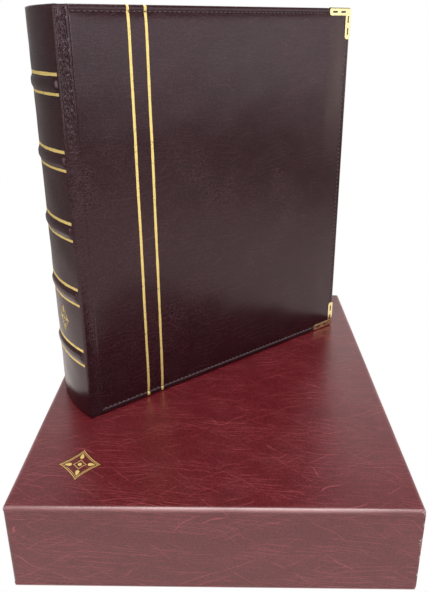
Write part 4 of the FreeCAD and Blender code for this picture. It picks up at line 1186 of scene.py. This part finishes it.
def camera_matrix(look):
    """The camera's place and heading from yaw, pitch and roll."""
    ahead = Vector((math.sin(look.yaw) * math.cos(look.pitch), math.cos(look.yaw) * math.cos(look.pitch),
                    -math.sin(look.pitch)))
    level_right = Vector((math.cos(look.yaw), -math.sin(look.yaw), 0))
    level_up = level_right.cross(ahead)
    right = level_right * math.cos(look.roll) + level_up * math.sin(look.roll)
    up = level_up * math.cos(look.roll) - level_right * math.sin(look.roll)
    turn = Matrix((right, up, -ahead)).transposed().to_4x4()
    return Matrix.Translation(look.place) @ turn


def white_to_camera(tree, shader_socket, end):
    """White to the camera, a painted pool of light glowing on the floor in reflections, and the given shader for
    all other light.
    """
    path = tree.nodes.new("ShaderNodeLightPath")
    seen = maths(tree, "MAXIMUM", path.outputs["Is Camera Ray"],
                 maths(tree, "MAXIMUM", path.outputs["Is Glossy Ray"], path.outputs["Is Transmission Ray"]))
    place = tree.nodes.new("ShaderNodeTexCoord").outputs["Object"]
    away = add_node(tree, "ShaderNodeVectorMath", {0: place, 1: PAINTED_LIGHT_POOL_CENTRE}, operation="DISTANCE")
    # Painted pool of light: brightest near the album, dimmer further out, with a warm tint
    painted_light_pool = ramp(tree, away.outputs["Value"], PAINTED_LIGHT_POOL_NEAR, PAINTED_LIGHT_POOL_FAR, 1.0, PAINTED_LIGHT_POOL_DIM)
    strength = maths(tree, "MAXIMUM", path.outputs["Is Camera Ray"], painted_light_pool)
    tint = mix_colour(tree, path.outputs["Is Camera Ray"], rgba(PAINTED_LIGHT_POOL_COLOUR), rgba(WHITE))
    glow = add_node(tree, "ShaderNodeEmission", {"Color": tint, "Strength": strength})
    mix = add_node(tree, "ShaderNodeMixShader", {0: seen, 1: shader_socket, 2: glow.outputs[0]})
    tree.links.new(mix.outputs[0], end)


def add_area_light(name, place, target, size, power, colour):
    """A rectangular light that faces its target and that the camera doesn't see."""
    light = bpy.data.lights.new(name, "AREA")
    light.shape, light.size, light.size_y = "RECTANGLE", size[0], size[1]
    light.energy, light.color = power, colour
    lamp = bpy.data.objects.new(name, light)
    bpy.context.scene.collection.objects.link(lamp)
    lamp.location = place
    lamp.visible_camera = False
    lamp.rotation_euler = (Vector(target) - Vector(place)).to_track_quat("-Z", "Y").to_euler()


def make_stage():
    """Camera, pale floor with a painted pool of light in reflections, white surroundings and soft lights."""
    scene = bpy.context.scene
    look = scene.stage_look
    camera = bpy.data.objects.new("camera", bpy.data.cameras.new("camera"))
    scene.collection.objects.link(camera)
    camera.matrix_world = camera_matrix(look)
    camera.data.lens, camera.data.sensor_width = look.lens, SENSOR_WIDTH
    camera.data.shift_x, camera.data.shift_y = look.shift
    camera.data.clip_start = CLIP_START
    scene.camera = camera

    world = bpy.data.worlds.new("studio")
    world.use_nodes = True
    scene.world = world
    tree = world.node_tree
    tree.nodes.clear()
    path = tree.nodes.new("ShaderNodeLightPath")
    sky = add_node(tree, "ShaderNodeBackground", {"Color": rgba(SKY_COLOUR), "Strength": look.daylight})
    white = add_node(tree, "ShaderNodeBackground", {"Color": rgba(WHITE), "Strength": 1.0})
    mix = add_node(tree, "ShaderNodeMixShader", {0: path.outputs["Is Camera Ray"], 1: sky.outputs[0],
                                                 2: white.outputs[0]})
    add_node(tree, "ShaderNodeOutputWorld", {"Surface": mix.outputs[0]})

    paint, floor_tree, shader, _ = new_material("floor")
    feed(floor_tree, shader, {"Base Color": rgba(FLOOR_COLOUR), "Roughness": 0.8})
    output = next(node for node in floor_tree.nodes if node.type == "OUTPUT_MATERIAL")
    white_to_camera(floor_tree, shader.outputs[0], output.inputs["Surface"])
    corners = np.array([[-1, -1, 0], [1, -1, 0], [1, 1, 0], [-1, 1, 0]]) * STAGE_HALF
    floor = make_piece("floor", corners - FLOOR_GAP * UP, np.array([[0, 1, 2, 3]]), paint)

    for name, place, target, size, share, colour in LIGHTS:
        add_area_light(name, place, target, size, look.key_power * share, colour)
    scene.view_settings.view_transform = "Standard"


class ALBUM_OT_covers(bpy.types.Operator):
    """Build both padded covers and their stitching"""

    bl_idname = "album.covers"
    bl_label = "Covers"

    def execute(self, context):
        for word, side in SIDES:
            make_cover(word, side)
            make_stitching(word, side)
        return {"FINISHED"}


class ALBUM_OT_corners(bpy.types.Operator):
    """Fold the four metal corners"""

    bl_idname = "album.corners"
    bl_label = "Metal corners"

    def execute(self, context):
        for word, side in SIDES:
            for level in ("upper", "lower"):
                make_corner_metal(word, side, level)
        return {"FINISHED"}


class ALBUM_OT_joints(bpy.types.Operator):
    """Build both flexible joints"""

    bl_idname = "album.joints"
    bl_label = "Joints"

    def execute(self, context):
        for word, side in SIDES:
            make_joint(word, side)
        return {"FINISHED"}


class ALBUM_OT_spine(bpy.types.Operator):
    """Build the spine over its raised bands"""

    bl_idname = "album.spine"
    bl_label = "Spine"

    def execute(self, context):
        make_spine()
        return {"FINISHED"}


class ALBUM_OT_foil(bpy.types.Operator):
    """Stamp the gold lines and ornaments"""

    bl_idname = "album.foil"
    bl_label = "Gold foil"

    def execute(self, context):
        make_front_foil()
        make_spine_foil()
        make_ornaments()
        return {"FINISHED"}


class ALBUM_OT_slipcase(bpy.types.Operator):
    """Build the slipcase's covering"""

    bl_idname = "album.slipcase"
    bl_label = "Slipcase"

    def execute(self, context):
        make_case_sheet("slipcase_upper", "slipcase_top_sheet", True)
        make_case_sheet("slipcase_lower", "slipcase_bottom_sheet", False)
        make_case_walls()
        return {"FINISHED"}


class ALBUM_OT_finishes(bpy.types.Operator):
    """Give the boards, leaves, rings and levers their finishes"""

    bl_idname = "album.finishes"
    bl_label = "Finishes"

    def execute(self, context):
        dress_cad()
        return {"FINISHED"}


class ALBUM_OT_stage(bpy.types.Operator):
    """Set up the camera, the floor and the light"""

    bl_idname = "album.stage"
    bl_label = "Stage"

    def execute(self, context):
        make_stage()
        return {"FINISHED"}


OPERATORS = (ALBUM_OT_covers, ALBUM_OT_corners, ALBUM_OT_joints, ALBUM_OT_spine, ALBUM_OT_foil,
             ALBUM_OT_slipcase, ALBUM_OT_finishes, ALBUM_OT_stage)
GROUPS = (("album_look", AlbumLook), ("case_look", CaseLook), ("stage_look", StageLook))


class ALBUM_PT_panel(bpy.types.Panel):
    """Settings and steps of the album"""

    bl_idname = "ALBUM_PT_panel"
    bl_label = "Stamp album"
    bl_space_type = "VIEW_3D"
    bl_region_type = "UI"
    bl_category = "Album"

    def draw(self, context):
        for attribute, group in GROUPS:
            box = self.layout.box()
            for name in group.__annotations__:
                box.prop(getattr(context.scene, attribute), name)
        for operator in OPERATORS:
            self.layout.operator(operator.bl_idname)


def register():
    for attribute, group in GROUPS:
        bpy.utils.register_class(group)
        setattr(bpy.types.Scene, attribute, bpy.props.PointerProperty(type=group))
    for cls in OPERATORS + (ALBUM_PT_panel,):
        bpy.utils.register_class(cls)


def unregister():
    for cls in (ALBUM_PT_panel,) + OPERATORS[::-1]:
        bpy.utils.unregister_class(cls)
    for attribute, group in GROUPS[::-1]:
        delattr(bpy.types.Scene, attribute)
        bpy.utils.unregister_class(group)


def main():
    register()
    bpy.ops.album.covers()
    bpy.ops.album.corners()
    bpy.ops.album.joints()
    bpy.ops.album.spine()
    bpy.ops.album.foil()
    bpy.ops.album.slipcase()
    bpy.ops.album.finishes()
    bpy.ops.album.stage()


if __name__ == "__main__":
    main()
